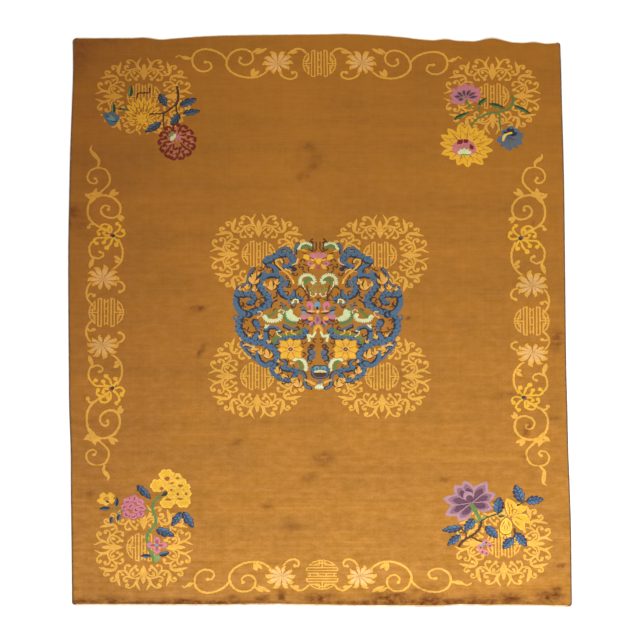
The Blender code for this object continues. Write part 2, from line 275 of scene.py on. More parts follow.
def wool_pile_group():
    """Cut wool pile: uneven dye, weft lines, single knots, soil and the tufts' relief, with painted light and
    shade: darker to the far end, lighter to the near end, darker at the left side, a painted sheen, and
    painted shade between the tufts.
    """
    tree, given, out = group_tree(
        "wool pile",
        [
            ("Yarn", "NodeSocketColor", (0.5, 0.5, 0.5, 1)),
            ("Soiled And Shaded Yarn", "NodeSocketColor", (0.1, 0.1, 0.1, 1)),
            ("Uneven Dye", "NodeSocketFloat", 0.3),
            ("Weft Lines", "NodeSocketFloat", 0.2),
            ("Knot Grain And Gap Shade", "NodeSocketFloat", 0.3),
        ],
        [("Colour", "NodeSocketColor"), ("Roughness", "NodeSocketFloat"), ("Relief", "NodeSocketFloat")],
    )
    link = tree.links.new
    place = node(tree, "ShaderNodeTexCoord").outputs["Object"]

    def centred(value, amount):
        return math_node(tree, "MULTIPLY", math_node(tree, "SUBTRACT", value, 0.5), amount)

    def ranged(value, low, high, start, end, smooth=False):
        new = node(tree, "ShaderNodeMapRange", interpolation_type="SMOOTHSTEP" if smooth else "LINEAR")
        link(value, new.inputs["Value"])
        for socket, number in (("From Min", low), ("From Max", high), ("To Min", start), ("To Max", end)):
            new.inputs[socket].default_value = number
        return new.outputs[0]

    parts = node(tree, "ShaderNodeSeparateXYZ")
    link(place, parts.inputs[0])
    # Painted light and shade along the rug: darker towards the far end and lighter towards the near end
    along = math_node(tree, "MULTIPLY_ADD", parts.outputs["X"], -0.1, parts.outputs["Y"])
    painted_light_share = math_node(tree, "POWER", ranged(along, 1.8, -1.7, 0.0, 1.0), 1.5)
    # Darker at the left side, partly painted shade and partly uneven dye, less so towards the near end
    left_side = ranged(parts.outputs["X"], -1.42, -0.15, 0.0, 1.0, smooth=True)
    near_eases_left_shade = math_node(tree, "MULTIPLY", painted_light_share, math_node(tree, "SUBTRACT", 1.0, left_side))
    left_side = math_node(tree, "MULTIPLY_ADD", near_eases_left_shade, 0.6, left_side)

    def blended(factor, first, second):
        new = node(tree, "ShaderNodeMix", data_type="RGBA")
        link(factor, new.inputs["Factor"])
        new.inputs["A"].default_value = (*first, 1)
        new.inputs["B"].default_value = (*second, 1)
        return new.outputs["Result"]

    def scaled_by(colour, other):
        new = node(tree, "ShaderNodeVectorMath", operation="MULTIPLY")
        link(colour, new.inputs[0])
        link(other, new.inputs[1])
        return new.outputs[0]

    # The painted light and shade as one tint on each yarn, with some uneven dye at the left side
    painted_light_and_dye_tint = scaled_by(blended(painted_light_share, FAR_PAINTED_SHADE, NEAR_PAINTED_LIGHT), blended(left_side, LEFT_PAINTED_SHADE_AND_DYE, (1, 1, 1)))

    cloud = stretched_noise(tree, place, 3.0, 3.6, 3.0, 0.6)
    band = stretched_noise(tree, place, 0.35, 7.0, 2.0, 0.5)
    line = stretched_noise(tree, place, 3.5, 95.0, 2.0, 0.6)
    warp = stretched_noise(tree, place, 60.0, 2.5, 1.0, 0.5)
    speck = stretched_noise(tree, place, 170.0, 170.0, 2.0, 0.7)
    mottle = stretched_noise(tree, place, 16.0, 26.0, 5.0, 0.72)
    streak = stretched_noise(tree, place, 0.9, 34.0, 4.0, 0.7)
    mottle = math_node(tree, "ADD", centred(mottle, 1.0), centred(speck, 0.35))
    mottle = math_node(tree, "MULTIPLY", mottle, math_node(tree, "MULTIPLY_ADD", painted_light_share, 1.6, 0.45))
    near = math_node(tree, "POWER", painted_light_share, 2.2)
    mottle = math_node(tree, "ADD", mottle, math_node(tree, "MULTIPLY", centred(streak, 1.5), near))
    knots = node(tree, "ShaderNodeTexVoronoi", voronoi_dimensions="2D", feature="F1")
    knots.inputs["Scale"].default_value = 290.0
    knots.inputs["Randomness"].default_value = 0.55
    link(place, knots.inputs["Vector"])

    shade = math_node(tree, "ADD", centred(cloud, given.outputs["Uneven Dye"]), 1.0)
    shade = math_node(tree, "ADD", shade, centred(band, given.outputs["Uneven Dye"]))
    shade = math_node(tree, "ADD", shade, centred(line, given.outputs["Weft Lines"]))
    shade = math_node(tree, "ADD", shade, math_node(tree, "MULTIPLY", mottle, given.outputs["Uneven Dye"]))
    half_lines = math_node(tree, "MULTIPLY", given.outputs["Weft Lines"], 0.5)
    shade = math_node(tree, "ADD", shade, centred(warp, half_lines))
    shade = math_node(tree, "ADD", shade, centred(speck, given.outputs["Knot Grain And Gap Shade"]))
    # Painted shade in the gaps between the knots' tufts
    depth = math_node(tree, "MULTIPLY", knots.outputs["Distance"], given.outputs["Knot Grain And Gap Shade"])
    shade = math_node(tree, "SUBTRACT", shade, math_node(tree, "MULTIPLY", depth, 0.6))

    # Soil marks; at the far left and along the near end they are partly painted shade
    wear = node(tree, "ShaderNodeAttribute", attribute_name="soil_and_shade").outputs["Fac"]
    blotch = stretched_noise(tree, place, 22.0, 30.0, 3.0, 0.65)
    blotch = math_node(tree, "MULTIPLY_ADD", blotch, 2.2, -0.35)
    soil_and_shade_share = node(tree, "ShaderNodeMath", operation="MULTIPLY", use_clamp=True)
    link(wear, soil_and_shade_share.inputs[0])
    link(blotch, soil_and_shade_share.inputs[1])

    scaled = node(tree, "ShaderNodeVectorMath", operation="SCALE")
    link(scaled_by(given.outputs["Yarn"], painted_light_and_dye_tint), scaled.inputs[0])
    link(shade, scaled.inputs["Scale"])
    dyed_and_lit = node(tree, "ShaderNodeVectorMath", operation="ADD")
    link(scaled.outputs[0], dyed_and_lit.inputs[0])
    # Painted sheen: a grey that grows towards the near end
    painted_sheen_grey = math_node(tree, "MULTIPLY", painted_light_share, PAINTED_SHEEN)
    link(math_node(tree, "MULTIPLY_ADD", mottle, MOTTLE_VEIL, painted_sheen_grey), dyed_and_lit.inputs[1])
    mixed = node(tree, "ShaderNodeMix", data_type="RGBA", clamp_factor=True)
    link(soil_and_shade_share.outputs[0], mixed.inputs["Factor"])
    link(dyed_and_lit.outputs[0], mixed.inputs["A"])
    link(given.outputs["Soiled And Shaded Yarn"], mixed.inputs["B"])
    link(mixed.outputs["Result"], out.inputs["Colour"])

    dull = math_node(tree, "MULTIPLY_ADD", speck, 0.16, 0.78)
    link(dull, out.inputs["Roughness"])
    tufts = math_node(tree, "SUBTRACT", 1.0, knots.outputs["Distance"])
    relief = math_node(tree, "ADD", tufts, math_node(tree, "MULTIPLY", speck, 0.8))
    relief = math_node(tree, "ADD", relief, math_node(tree, "MULTIPLY", line, 0.5))
    link(relief, out.inputs["Relief"])
    return tree


WOOL_PILE = wool_pile_group()


def bare_material(name, sheen=0.0):
    """A material with its Principled shader, and the sockets that stay the same all over."""
    material = bpy.data.materials.new(name)
    material.use_nodes = True
    tree = material.node_tree
    shader = tree.nodes["Principled BSDF"]
    shader.inputs["Metallic"].default_value = 0.0
    shader.inputs["Specular IOR Level"].default_value = 0.2
    shader.inputs["Sheen Weight"].default_value = sheen
    shader.inputs["Sheen Roughness"].default_value = 0.5
    return material, tree, shader


def bump(tree, shader, height, strength, distance):
    relief = node(tree, "ShaderNodeBump")
    relief.inputs["Strength"].default_value = strength
    relief.inputs["Distance"].default_value = distance
    tree.links.new(height, relief.inputs["Height"])
    tree.links.new(relief.outputs["Normal"], shader.inputs["Normal"])


def pile_wool(yarn, dye=0.26, lines=0.16, grain_and_gap_shade=0.36):
    """The cut pile of one yarn."""
    material, tree, shader = bare_material(f"pile_{yarn}", sheen=0.06)
    colour = YARNS[yarn]
    wool = node(tree, "ShaderNodeGroup", node_tree=WOOL_PILE)
    wool.inputs["Yarn"].default_value = colour
    wool.inputs["Soiled And Shaded Yarn"].default_value = tuple(k * c for k, c in zip(SOIL_AND_SHADE_TINT, colour)) + (1.0,)
    wool.inputs["Uneven Dye"].default_value = dye
    wool.inputs["Weft Lines"].default_value = lines
    wool.inputs["Knot Grain And Gap Shade"].default_value = grain_and_gap_shade
    tree.links.new(wool.outputs["Colour"], shader.inputs["Base Color"])
    tree.links.new(wool.outputs["Roughness"], shader.inputs["Roughness"])
    bump(tree, shader, wool.outputs["Relief"], 0.5, 0.0012)
    return material


PILE = {yarn: pile_wool(yarn) for yarn in YARNS}


def plain_yarn(name, sheen, thread, wear, colours, uneven, shading, roughness, relief):
    """Undyed or single-coloured yarn: a fine thread, and a coarse wear between two colours.

    thread and wear are noises. uneven and shading are the factor and offset of each, and relief is the
    thread's strength and height.
    """
    material, tree, shader = bare_material(name, sheen=sheen)
    place = node(tree, "ShaderNodeTexCoord").outputs["Object"]
    fine = stretched_noise(tree, place, *thread)
    coarse = stretched_noise(tree, place, *wear)
    ramp = node(tree, "ShaderNodeValToRGB")
    for element, colour in zip(ramp.color_ramp.elements, colours):
        element.color = sRGB(*colour)
    tree.links.new(math_node(tree, "MULTIPLY_ADD", coarse, *uneven), ramp.inputs["Fac"])
    shade = node(tree, "ShaderNodeVectorMath", operation="SCALE")
    tree.links.new(ramp.outputs["Color"], shade.inputs[0])
    tree.links.new(math_node(tree, "MULTIPLY_ADD", fine, *shading), shade.inputs["Scale"])
    tree.links.new(shade.outputs[0], shader.inputs["Base Color"])
    shader.inputs["Roughness"].default_value = roughness
    bump(tree, shader, fine, *relief)
    return material


# The dark wool wound over the side cords
OVERCAST = plain_yarn(
    "wound_wool", 0.05, thread=(900.0, 2600.0, 2.0, 0.6), wear=(8.0, 14.0, 3.0, 0.6),
    colours=((70, 46, 26), (146, 104, 60)), uneven=(1.4, -0.2), shading=(0.6, 0.7), roughness=0.85,
    relief=(0.4, 0.0006),
)
# Plain-woven cotton: the rug's warps and wefts where no pile is tied
COTTON = plain_yarn(
    "woven_cotton", 0.04, thread=(420.0, 900.0, 1.0, 0.4), wear=(16.0, 30.0, 3.0, 0.7),
    colours=((188, 150, 100), (240, 224, 192)), uneven=(1.6, -0.3), shading=(0.5, 0.72), roughness=0.9,
    relief=(0.6, 0.0005),
)


# ---------------------------------------------------------------- meshes
def mesh_piece(name, points, faces, materials, slots=None, smooth_below=40):
    """A piece from its points and faces, shaded smooth up to an angle in degrees."""
    mesh = bpy.data.meshes.new(name)
    mesh.from_pydata(points.tolist(), [], faces)
    for material in materials:
        mesh.materials.append(material)
    if slots is not None:
        mesh.polygons.foreach_set("material_index", np.asarray(slots, np.int32))
    mesh.shade_smooth()
    mesh.set_sharp_from_angle(angle=math.radians(smooth_below))
    mesh.update()
    piece = bpy.data.objects.new(name, mesh)
    bpy.context.scene.collection.objects.link(piece)
    return piece


def mark_soil_and_shade(piece):
    """Gives each point of a piece its share of soil and painted shade."""
    mesh = piece.data
    at = np.empty(len(mesh.vertices) * 3)
    mesh.vertices.foreach_get("co", at)
    at = at.reshape(-1, 3)
    layer = mesh.attributes.new("soil_and_shade", "FLOAT", "POINT")
    layer.data.foreach_set("value", soil_and_shade(at[:, 0], at[:, 1]).astype(np.float32))


# ---------------------------------------------------------------- the plain pile
PILE_STEP = 0.021
RIM_STEPS = (0.0, 0.0008, 0.002, 0.0035, 0.0052, 0.007, 0.009, 0.012, 0.018)


def plan_lines(low, high):
    """Mesh lines from one wall to the other, close together at both rims."""
    inner = np.linspace(low + RIM_STEPS[-1], high - RIM_STEPS[-1], round((high - low) / PILE_STEP))
    rim = np.array(RIM_STEPS[:-1])
    return np.concatenate([low + rim, inner, (high - rim)[::-1]])


def round_corners(x, y):
    """Pulls the plan's points in to its rounded corners. Gives them and how far each lies inside the rim."""
    sides = {"left": x - left_edge(y), "right": right_edge(y) - x}
    ends = {"near": y - near_edge(x), "far": far_edge(x) - y}
    depth = np.minimum.reduce([*sides.values(), *ends.values()])
    new_x, new_y = x.copy(), y.copy()
    for (side, end), radius in CORNER_RADIUS.items():
        across, along = radius - sides[side], radius - ends[end]
        inside = (across > 0) & (along > 0)
        most = np.maximum(across, along)
        shrink = np.where(inside, most / np.maximum(np.hypot(across, along), 1e-9), 1)
        new_x += np.where(inside, (1 if side == "left" else -1) * across * (1 - shrink), 0)
        new_y += np.where(inside, (1 if end == "near" else -1) * along * (1 - shrink), 0)
        depth = np.where(inside, radius - most, depth)
    return new_x, new_y, np.maximum(depth, 0)


def plain_pile():
    """The whole rug as one closed piece: the pile's surface, its rounded rim, the walls and the underside."""
    columns = plan_lines(left_edge(0.0), right_edge(0.0))
    rows = plan_lines(near_edge(0.0), far_edge(0.0))
    across = (columns - columns[0]) / (columns[-1] - columns[0])
    along = (rows - rows[0]) / (rows[-1] - rows[0])
    s, t = np.meshgrid(across, along)
    y = near_edge(0.0) + (far_edge(0.0) - near_edge(0.0)) * t
    for _ in range(3):
        x = left_edge(y) + (right_edge(y) - left_edge(y)) * s
        y = near_edge(x) + (far_edge(x) - near_edge(x)) * t
    x, y, depth = round_corners(x, y)
    run = 1 - np.clip(depth / EDGE_ROUND, 0, 1)
    drop = (PILE_TOP - WALL_TOP) * (1 - np.sqrt(1 - run**2))
    z = pile_surface(x, y) - drop
    top = np.stack([x, y, z], -1).reshape(-1, 3)
    under = np.stack([x, y, lift(x, y)], -1).reshape(-1, 3)
    index = np.arange(x.size).reshape(x.shape)
    quads = np.stack([index[:-1, :-1], index[:-1, 1:], index[1:, 1:], index[1:, :-1]], -1).reshape(-1, 4)
    rim = np.concatenate([index[0, :], index[1:, -1], index[-1, -2::-1], index[-2:0:-1, 0]])
    walls = np.stack([np.roll(rim, -1), rim, rim + x.size, np.roll(rim, -1) + x.size], -1)
    points = np.vstack([top, under])
    faces = quads.tolist() + (quads[:, ::-1] + x.size).tolist() + walls.tolist()
    return mesh_piece("pile_field", points, faces, [PILE["field"]], smooth_below=50)


# ---------------------------------------------------------------- drawing figures in yarn
STROKE_STEP = 1.0  # cm between the ribs of a stroke
PETAL_STEPS = (0.12, 0.28, 0.46, 0.64, 0.8, 0.92)
THINNEST = 0.03  # cm, the narrowest sliver that is knotted
MERGE = 0.003  # cm, points closer than this become one
PROUD = 0.0004  # a figure's cut edge above the plain pile, in metres
CROWN = 0.0006  # and how much higher its middle stands
SINK = 0.0012  # how far it reaches down into the pile
SPREAD = 3.0  # cm between the points that carry a figure over the pile's swells
CLOSE_SPREAD = 1.6  # and over the ripples
RIPPLED_FROM = 150  # y in cm, where the ripples are counted from


def directions(line):
    """Unit vectors along a line and to its left, at each of its points."""
    along = np.gradient(line, axis=0)
    along /= np.maximum(np.linalg.norm(along, axis=1), 1e-9)[:, None]
    return along, np.stack([-along[:, 1], along[:, 0]], 1)


def toward(centre, point, share, start=None):
    """A place at a share of the way from a centre to a point, or as far from another start."""
    x, y = start or centre
    return x + share * (point[0] - centre[0]), y + share * (point[1] - centre[1])


def round_from(x, y, reach, angle):
    """The place at a distance from x, y, its direction in radians."""
    return x + reach * math.cos(angle), y + reach * math.sin(angle)


def spline(points, step=STROKE_STEP, closed=False):
    """A smooth line through points of any number of columns, with a point each step along it."""
    points = np.asarray(points, float)
    if len(points) == 2 and not closed:
        points = np.array([points[0], points.mean(0), points[1]])
    if closed:
        points = np.vstack([points[-1], points, points[:2]])
    else:
        points = np.vstack([2 * points[0] - points[1], points, 2 * points[-1] - points[-2]])
    line = []
    for before, start, end, after in zip(points, points[1:], points[2:], points[3:]):
        length = math.hypot(*(end - start)[:2])
        count = max(2, math.ceil(length / step))
        t = np.arange(count)[:, None] / count
        line.append(
            0.5 * (2 * start + (end - before) * t + (2 * before - 5 * start + 4 * end - after) * t**2
                   + (3 * start - before - 3 * end + after) * t**3)
        )
    if not closed:
        line.append(points[-2][None])
    return np.vstack(line)


class Figure:
    """Flat shapes in yarn, in cm, each laid over the ones before it. Yarn None cuts through to the pile."""

    def __init__(self, name):
        self.name = name
        self.shapes = []
        self.place()

    def place(self, x=0.0, y=0.0, turn=0.0, scale=1.0, flip=False, high=1.0):
        """Lays the shapes that follow at x, y: scaled, flipped left to right, turned, then made less high."""
        c, s = math.cos(math.radians(turn)), math.sin(math.radians(turn))
        matrix = np.diag([scale, scale])
        if flip:
            matrix = np.diag([-1, 1]) @ matrix
        self.matrix = np.diag([1.0, high]) @ np.array([[c, -s], [s, c]]) @ matrix
        self.origin = np.array([x, y])
        self.scale = scale
        self.landmarks = None

    def place_along(self, axis, landmarks, mirror):
        """Lays the shapes that follow so that their landmarks along x (0) or y (1) fall on the rug's own."""
        self.place()
        self.landmarks = (axis, np.array(sorted(landmarks)), mirror)

    def laid(self, polygon):
        polygon = np.asarray(polygon, float)[:, :2] @ self.matrix.T + self.origin
        if self.landmarks:
            axis, rows, mirror = self.landmarks
            along, across = polygon[:, axis].copy(), polygon[:, 1 - axis].copy()
            polygon[:, axis] = np.interp(along, rows[:, 0], rows[:, 1])
            polygon[:, 1 - axis] = mirror * across + np.interp(along, rows[:, 0], rows[:, 2])
        return polygon

    def put(self, yarn, polygons):
        placed = []
        for polygon in polygons:
            polygon = self.laid(polygon)
            area = flat_area(polygon)
            longest = np.linalg.norm(polygon - np.roll(polygon, 1, axis=0), axis=1).max()
            if abs(area) > 0.5 * THINNEST * longest:
                placed.append(polygon if area > 0 else polygon[::-1])
        self.shapes.append((yarn, placed))

    def stroke(self, yarn, points, knob=0.0, wave=0.0):
        """A line through points of (x, y, width). knob is its round end's diameter, wave its unevenness."""
        line = spline(points, STROKE_STEP / self.scale)
        line[:, 2] *= 1 + wave * np.sin(2.2 * np.arange(len(line)) + line[0, 0])
        side = directions(line[:, :2])[1] * np.maximum(line[:, 2:3], 0.1) / 2
        left, right = line[:, :2] + side, line[:, :2] - side
        pieces = []
        for a, b, c, d in zip(right, right[1:], left[1:], left):
            halves = [np.array([a, b, c]), np.array([a, c, d])]
            if min(flat_area(half) for half in (*halves, np.array([a, b, d]), np.array([b, c, d]))) > 0:
                pieces.append([a, b, c, d])
            else:
                pieces += halves
        for end, width in ((line[0], line[0, 2]), (line[-1], line[-1, 2])):
            if width > 0.6:
                pieces.append(ring(end[0], end[1], width / 2, 8))
        if knob:
            pieces.append(ring(line[-1, 0], line[-1, 1], knob / 2, 12))
        self.put(yarn, pieces)

    def line(self, yarn, points, width, end=None, knob=0.0, wave=0.0):
        """A drawn line through points of (x, y), its width changing evenly from start to end."""
        widths = np.linspace(width, width if end is None else end, len(points))
        self.stroke(yarn, [(x, y, w) for (x, y), w in zip(points, widths)], knob, wave)

    def petal(self, yarn, base, tip, width, bend=0.0, belly=0.55, blunt=0.0):
        """A petal or leaf from base to tip. bend moves its middle sideways, and blunt rounds its tip."""
        base, tip = np.asarray(base, float), np.asarray(tip, float)
        run = tip - base
        side = np.array([-run[1], run[0]]) / max(math.hypot(*run), 1e-9)
        power = math.log(0.5) / math.log(belly)
        left, right = [], []
        for t in PETAL_STEPS:
            middle = base + run * t + side * bend * 4 * t * (1 - t)
            share = math.sin(math.pi * t**power) ** 0.8
            if blunt and t > 0.85:
                share = max(share, blunt + 0.15)
            left.append(middle + side * width / 2 * share)
            right.append(middle - side * width / 2 * share)
        ends = [tip + side * width / 2 * blunt, tip - side * width / 2 * blunt] if blunt else [tip]
        self.put(yarn, [[base, *left, *ends, *right[::-1]]])

    def patch(self, yarn, points):
        """A smooth round-cornered shape through points of (x, y)."""
        self.put(yarn, [spline(points, 0.8 / self.scale, closed=True)])

    def disc(self, yarn, x, y, radius, sides=None):
        self.put(yarn, [ring(x, y, radius, sides or max(8, round(radius * 6)))])

    def bar(self, yarn, x0, y0, x1, y1, width):
        """A straight bar with square ends."""
        run = np.array([x1 - x0, y1 - y0])
        side = np.array([-run[1], run[0]]) / math.hypot(*run) * width / 2
        start, end = np.array([x0, y0]), np.array([x1, y1])
        self.put(yarn, [[start - side, end - side, end + side, start + side]])


def flat_area(polygon):
    x, y = polygon.T
    return 0.5 * (x @ np.roll(y, -1) - y @ np.roll(x, -1))


def ring(x, y, radius, count):
    return [round_from(x, y, radius, 2 * math.pi * k / count) for k in range(count)]


def edge_owners(triangles):
    """The triangle on the left of each edge."""
    owner = {}
    for t, (a, b, c) in enumerate(triangles):
        owner[a, b], owner[b, c], owner[c, a] = t, t, t
    return owner


def loosen(triangles, count):
    """Gives each fan of triangles that only touches another at a point its own point, named by its source."""
    owner = edge_owners(triangles)
    open_ends = defaultdict(int)
    for a, b in owner:
        if (b, a) not in owner:
            open_ends[a] += 1
    sources = list(range(count))
    around = defaultdict(list)
    knots = {v for v, n in open_ends.items() if n > 1}
    for t, triangle in enumerate(triangles):
        for v in triangle:
            if v in knots:
                around[v].append(t)
    for v, members in around.items():
        left = set(members)
        first = True
        while left:
            fan, todo = set(), [left.pop()]
            while todo:
                t = todo.pop()
                fan.add(t)
                for a, b in zip(triangles[t], triangles[t][1:] + triangles[t][:1]):
                    if v in (a, b) and (b, a) in owner and owner[b, a] in left:
                        left.discard(owner[b, a])
                        todo.append(owner[b, a])
            if not first:
                for t in fan:
                    triangles[t] = [len(sources) if w == v else w for w in triangles[t]]
                sources.append(v)
            first = False
    return triangles, sources


def spilled_shapes(made, points, polygons):
    """Shapes that cover more of the triangulation than their own area, as a folded sliver does."""
    corners = np.array([v[:] for v in made[0]])[np.array(made[2])]
    one, two = corners[:, 1] - corners[:, 0], corners[:, 2] - corners[:, 0]
    areas = 0.5 * np.abs(one[:, 0] * two[:, 1] - one[:, 1] * two[:, 0])
    covered = defaultdict(float)
    for area, holders in zip(areas, made[5]):
        for holder in holders:
            covered[holder] += area
    return {h for h, area in covered.items() if area > 1.1 * flat_area(points[polygons[h]]) + 0.05}


def unsteady(plan):
    """Points in cm moved a little this way and that, as drawn by hand and rounded to the nearest knot."""
    x, y = plan.T
    shift_x = 0.10 * np.sin(2.1 * y + 1.3 * np.sin(0.9 * x)) + 0.07 * np.sin(3.7 * y + 1.9 * x)
    shift_y = 0.10 * np.sin(2.3 * x + 1.2 * np.sin(0.8 * y)) + 0.07 * np.sin(3.9 * x - 1.7 * y)
    return plan + np.stack([shift_x, shift_y], 1)


def knotted(figure):
    """Turns a figure into one closed piece that lies in the pile and stands a little proud of it."""
    points, polygons, shape_of = [], [], []
    for number, (yarn, parts) in enumerate(figure.shapes):
        for part in parts:
            polygons.append(list(range(len(points), len(points) + len(part))))
            points += [tuple(p) for p in part]
            shape_of.append(number)
    plan = np.array(points)
    low, high = plan.min(0), plan.max(0)
    gap = CLOSE_SPREAD if high[1] > RIPPLED_FROM else SPREAD
    for x in np.arange(low[0] + gap / 2, high[0], gap):
        for y in np.arange(low[1] + gap / 2, high[1], gap):
            points.append((x + 0.11 * math.sin(7 * y), y + 0.11 * math.sin(9 * x)))
    made = delaunay_2d_cdt([Vector(p) for p in points], [], polygons, 0, MERGE, True)
    yarns = [yarn for yarn, _ in figure.shapes]
    spilled = spilled_shapes(made, np.array(points), polygons)
    triangles, worn = [], []
    for triangle, holders in zip(made[2], made[5]):
        holders = [h for h in holders if h not in spilled]
        if not holders:
            continue
        yarn = yarns[max(shape_of[h] for h in holders)]
        if yarn:
            triangles.append(list(triangle))
            worn.append(yarn)
    triangles, sources = loosen(triangles, len(made[0]))
    used = sorted({v for t in triangles for v in t})
    number = {v: k for k, v in enumerate(used)}
    triangles = [[number[v] for v in t] for t in triangles]
    plan = unsteady(np.array([made[0][sources[v]][:] for v in used])) * CM

    owner = edge_owners(triangles)
    seam = np.zeros(len(used), bool)
    outer = [(a, b) for a, b in owner if (b, a) not in owner]
    for (a, b), t in owner.items():
        other = owner.get((b, a))
        if other is None or worn[other] != worn[t]:
            seam[[a, b]] = True
    height = pile_surface(plan[:, 0], plan[:, 1])
    top = np.column_stack([plan, height + PROUD + np.where(seam, 0, CROWN)])
    bottom = np.column_stack([plan, height - SINK])
    n = len(used)
    walls = [[b, a, a + n, b + n] for a, b in outer]
    faces = triangles + walls + [[c + n, b + n, a + n] for a, b, c in triangles]
    wall_yarns = [worn[owner[edge]] for edge in outer]
    names = sorted(set(worn))
    slot = {yarn: k for k, yarn in enumerate(names)}
    slots = [slot[yarn] for yarn in worn + wall_yarns + worn]
    piece = mesh_piece(
        figure.name, np.vstack([top, bottom]), faces, [PILE[yarn] for yarn in names], slots, smooth_below=35
    )
    mark_soil_and_shade(piece)
    return piece


# ---------------------------------------------------------------- the round scroll figure
# Half of one quarter, from the middle of its bud to the diagonal: x, y, width in cm, and the knob at the end
Scroll = namedtuple("Scroll", "knob points")
ROUND_SCROLLS = [
    Scroll(0, [(1.9, 18.4, 1.2), (3.4, 20.4, 1.7), (3.6, 22.8, 1.4), (2.5, 25.0, 1.0), (1.7, 26.8, 0.4)]),
    Scroll(2.1, [(3.9, 21.0, 1.0), (5.0, 23.6, 1.0), (7.0, 25.1, 1.0), (9.1, 24.9, 1.0), (9.5, 23.6, 1.0),
        (8.5, 23.4, 0.9)]),
    Scroll(0, [(2.2, 18.6, 1.0), (4.5, 19.3, 1.0), (6.8, 18.5, 1.1), (8.4, 16.5, 1.1), (10.2, 14.9, 1.0),
        (12.4, 14.5, 1.0), (13.9, 15.7, 1.5), (14.2, 18.2, 2.2), (13.4, 21.2, 1.7), (12.6, 24.0, 0.4)]),
    Scroll(1.8, [(13.4, 15.4, 0.9), (12.0, 15.6, 0.9), (11.3, 17.0, 0.9)]),
    Scroll(2.1, [(14.4, 19.0, 1.0), (15.5, 21.0, 1.0), (17.2, 21.2, 1.0), (17.8, 19.9, 1.0),
        (16.9, 19.3, 0.9)]),
    Scroll(2.1, [(6.8, 18.6, 1.0), (9.2, 18.2, 1.0), (10.7, 19.5, 1.0), (10.3, 21.0, 1.0),
        (9.3, 20.8, 0.9)]),
    Scroll(1.8, [(2.2, 15.8, 0.9), (3.6, 17.5, 0.9), (5.3, 17.9, 0.9), (6.2, 16.9, 0.9), (5.4, 16.2, 0.9)]),
    Scroll(2.0, [(7.6, 17.4, 1.0), (7.2, 15.2, 1.0), (5.9, 13.3, 1.0), (4.2, 11.7, 1.0)]),
    Scroll(1.8, [(5.4, 12.9, 0.9), (4.0, 12.9, 0.9), (3.3, 14.1, 0.9)]),
    Scroll(2.0, [(8.6, 16.2, 1.0), (9.8, 14.2, 1.0), (9.9, 12.2, 1.0), (8.9, 11.0, 1.0), (7.7, 11.4, 0.9)]),
]
FRET_RADIUS = 9.4


def fret_disc(figure, radius=FRET_RADIUS):
    """A plain symmetrical fret of upright bars between two bowed sides."""
    unit = radius / FRET_RADIUS
    wide = 0.72 * unit

    def bar(x0, y0, x1, y1):
        figure.bar("gold", x0 * unit, y0 * unit, x1 * unit, y1 * unit, wide)

    for x in (-4.3, -2.6, -0.9, 0.9, 2.6, 4.3):
        reach = math.sqrt(9.3**2 - x * x) * (1.0 if abs(x) > 1 else 0.86)
        bar(x, -reach, x, reach)
    for y in (-6.6, 6.6):
        bar(-0.9, y, 0.9, y)
        bar(-4.3, y * 1.26, -2.6, y * 1.26)
        bar(2.6, y * 1.26, 4.3, y * 1.26)
    for y in (-2.2, 2.2):
        bar(-0.9, y, 0.9, y)
    for side in (-1, 1):
        for bow, reach in ((9.0, 0.86), (7.3, 0.52)):
            arc = [(side * bow * math.cos(a) * unit, bow * math.sin(a) * unit, wide)
                   for a in np.linspace(-reach, reach, 7)]
            figure.stroke("gold", arc)
        for x0, y0, x1, y1 in ((5.95, -6.6, 5.95, -1.4), (5.95, 1.4, 5.95, 6.6), (4.3, 0, 9.0, 0),
                               (5.95, -1.5, 8.8, -1.5), (5.95, 1.5, 8.8, 1.5)):
            bar(side * x0, y0, side * x1, y1)


def round_figure(figure, x, y, high=1.0):
    """Four buds with eight sprays of scrolls between them, round the fret disc."""
    for quarter in range(4):
        for flip in (False, True):
            figure.place(x, y, turn=90 * quarter, high=high, flip=flip)
            for scroll in ROUND_SCROLLS:
                figure.stroke("gold", scroll.points, scroll.knob)
        figure.place(x, y, turn=90 * quarter, high=high)
        figure.petal("gold", (0, 11.0), (0, 20.6), 4.2, belly=0.58)
        figure.petal(None, (0, 17.0), (0, 23.6), 3.4, belly=0.45)
        figure.petal("gold", (0, 16.4), (0, 22.8), 2.4, belly=0.5)
    figure.place(x, y, high=high)
    fret_disc(figure)
    figure.place()


# Middle of each round figure and its height as a share of its width
ROUND_PLACES = {
    "round_centre_far_left": (-32.8, 39.6, 0.97),
    "round_centre_far_right": (33.7, 39.0, 0.97),
    "round_centre_near_left": (-33.4, -38.1, 1.0),
    "round_centre_near_right": (34.6, -38.2, 1.0),
    "round_corner_far_left": (-96.2, 141.2, 0.93),
    "round_corner_far_right": (95.8, 141.4, 0.93),
    "round_corner_near_left": (-94.8, -146.0, 1.0),
    "round_corner_near_right": (100.3, -143.6, 1.0),
}


# ---------------------------------------------------------------- flowers and leaves
def petal_fan(figure, yarn, base, tips, width, cut=0.45, **shape):
    """Petals from one base, with a clipped furrow round them."""
    base = np.asarray(base, float)
    for tip in tips:
        run = np.asarray(tip, float) - base
        beyond = base + run * (1 + cut / max(math.hypot(*run), 1e-9))
        figure.petal(None, base, beyond, width + 2 * cut, **shape)
    for tip in tips:
        figure.petal(yarn, base, tip, width, **shape)


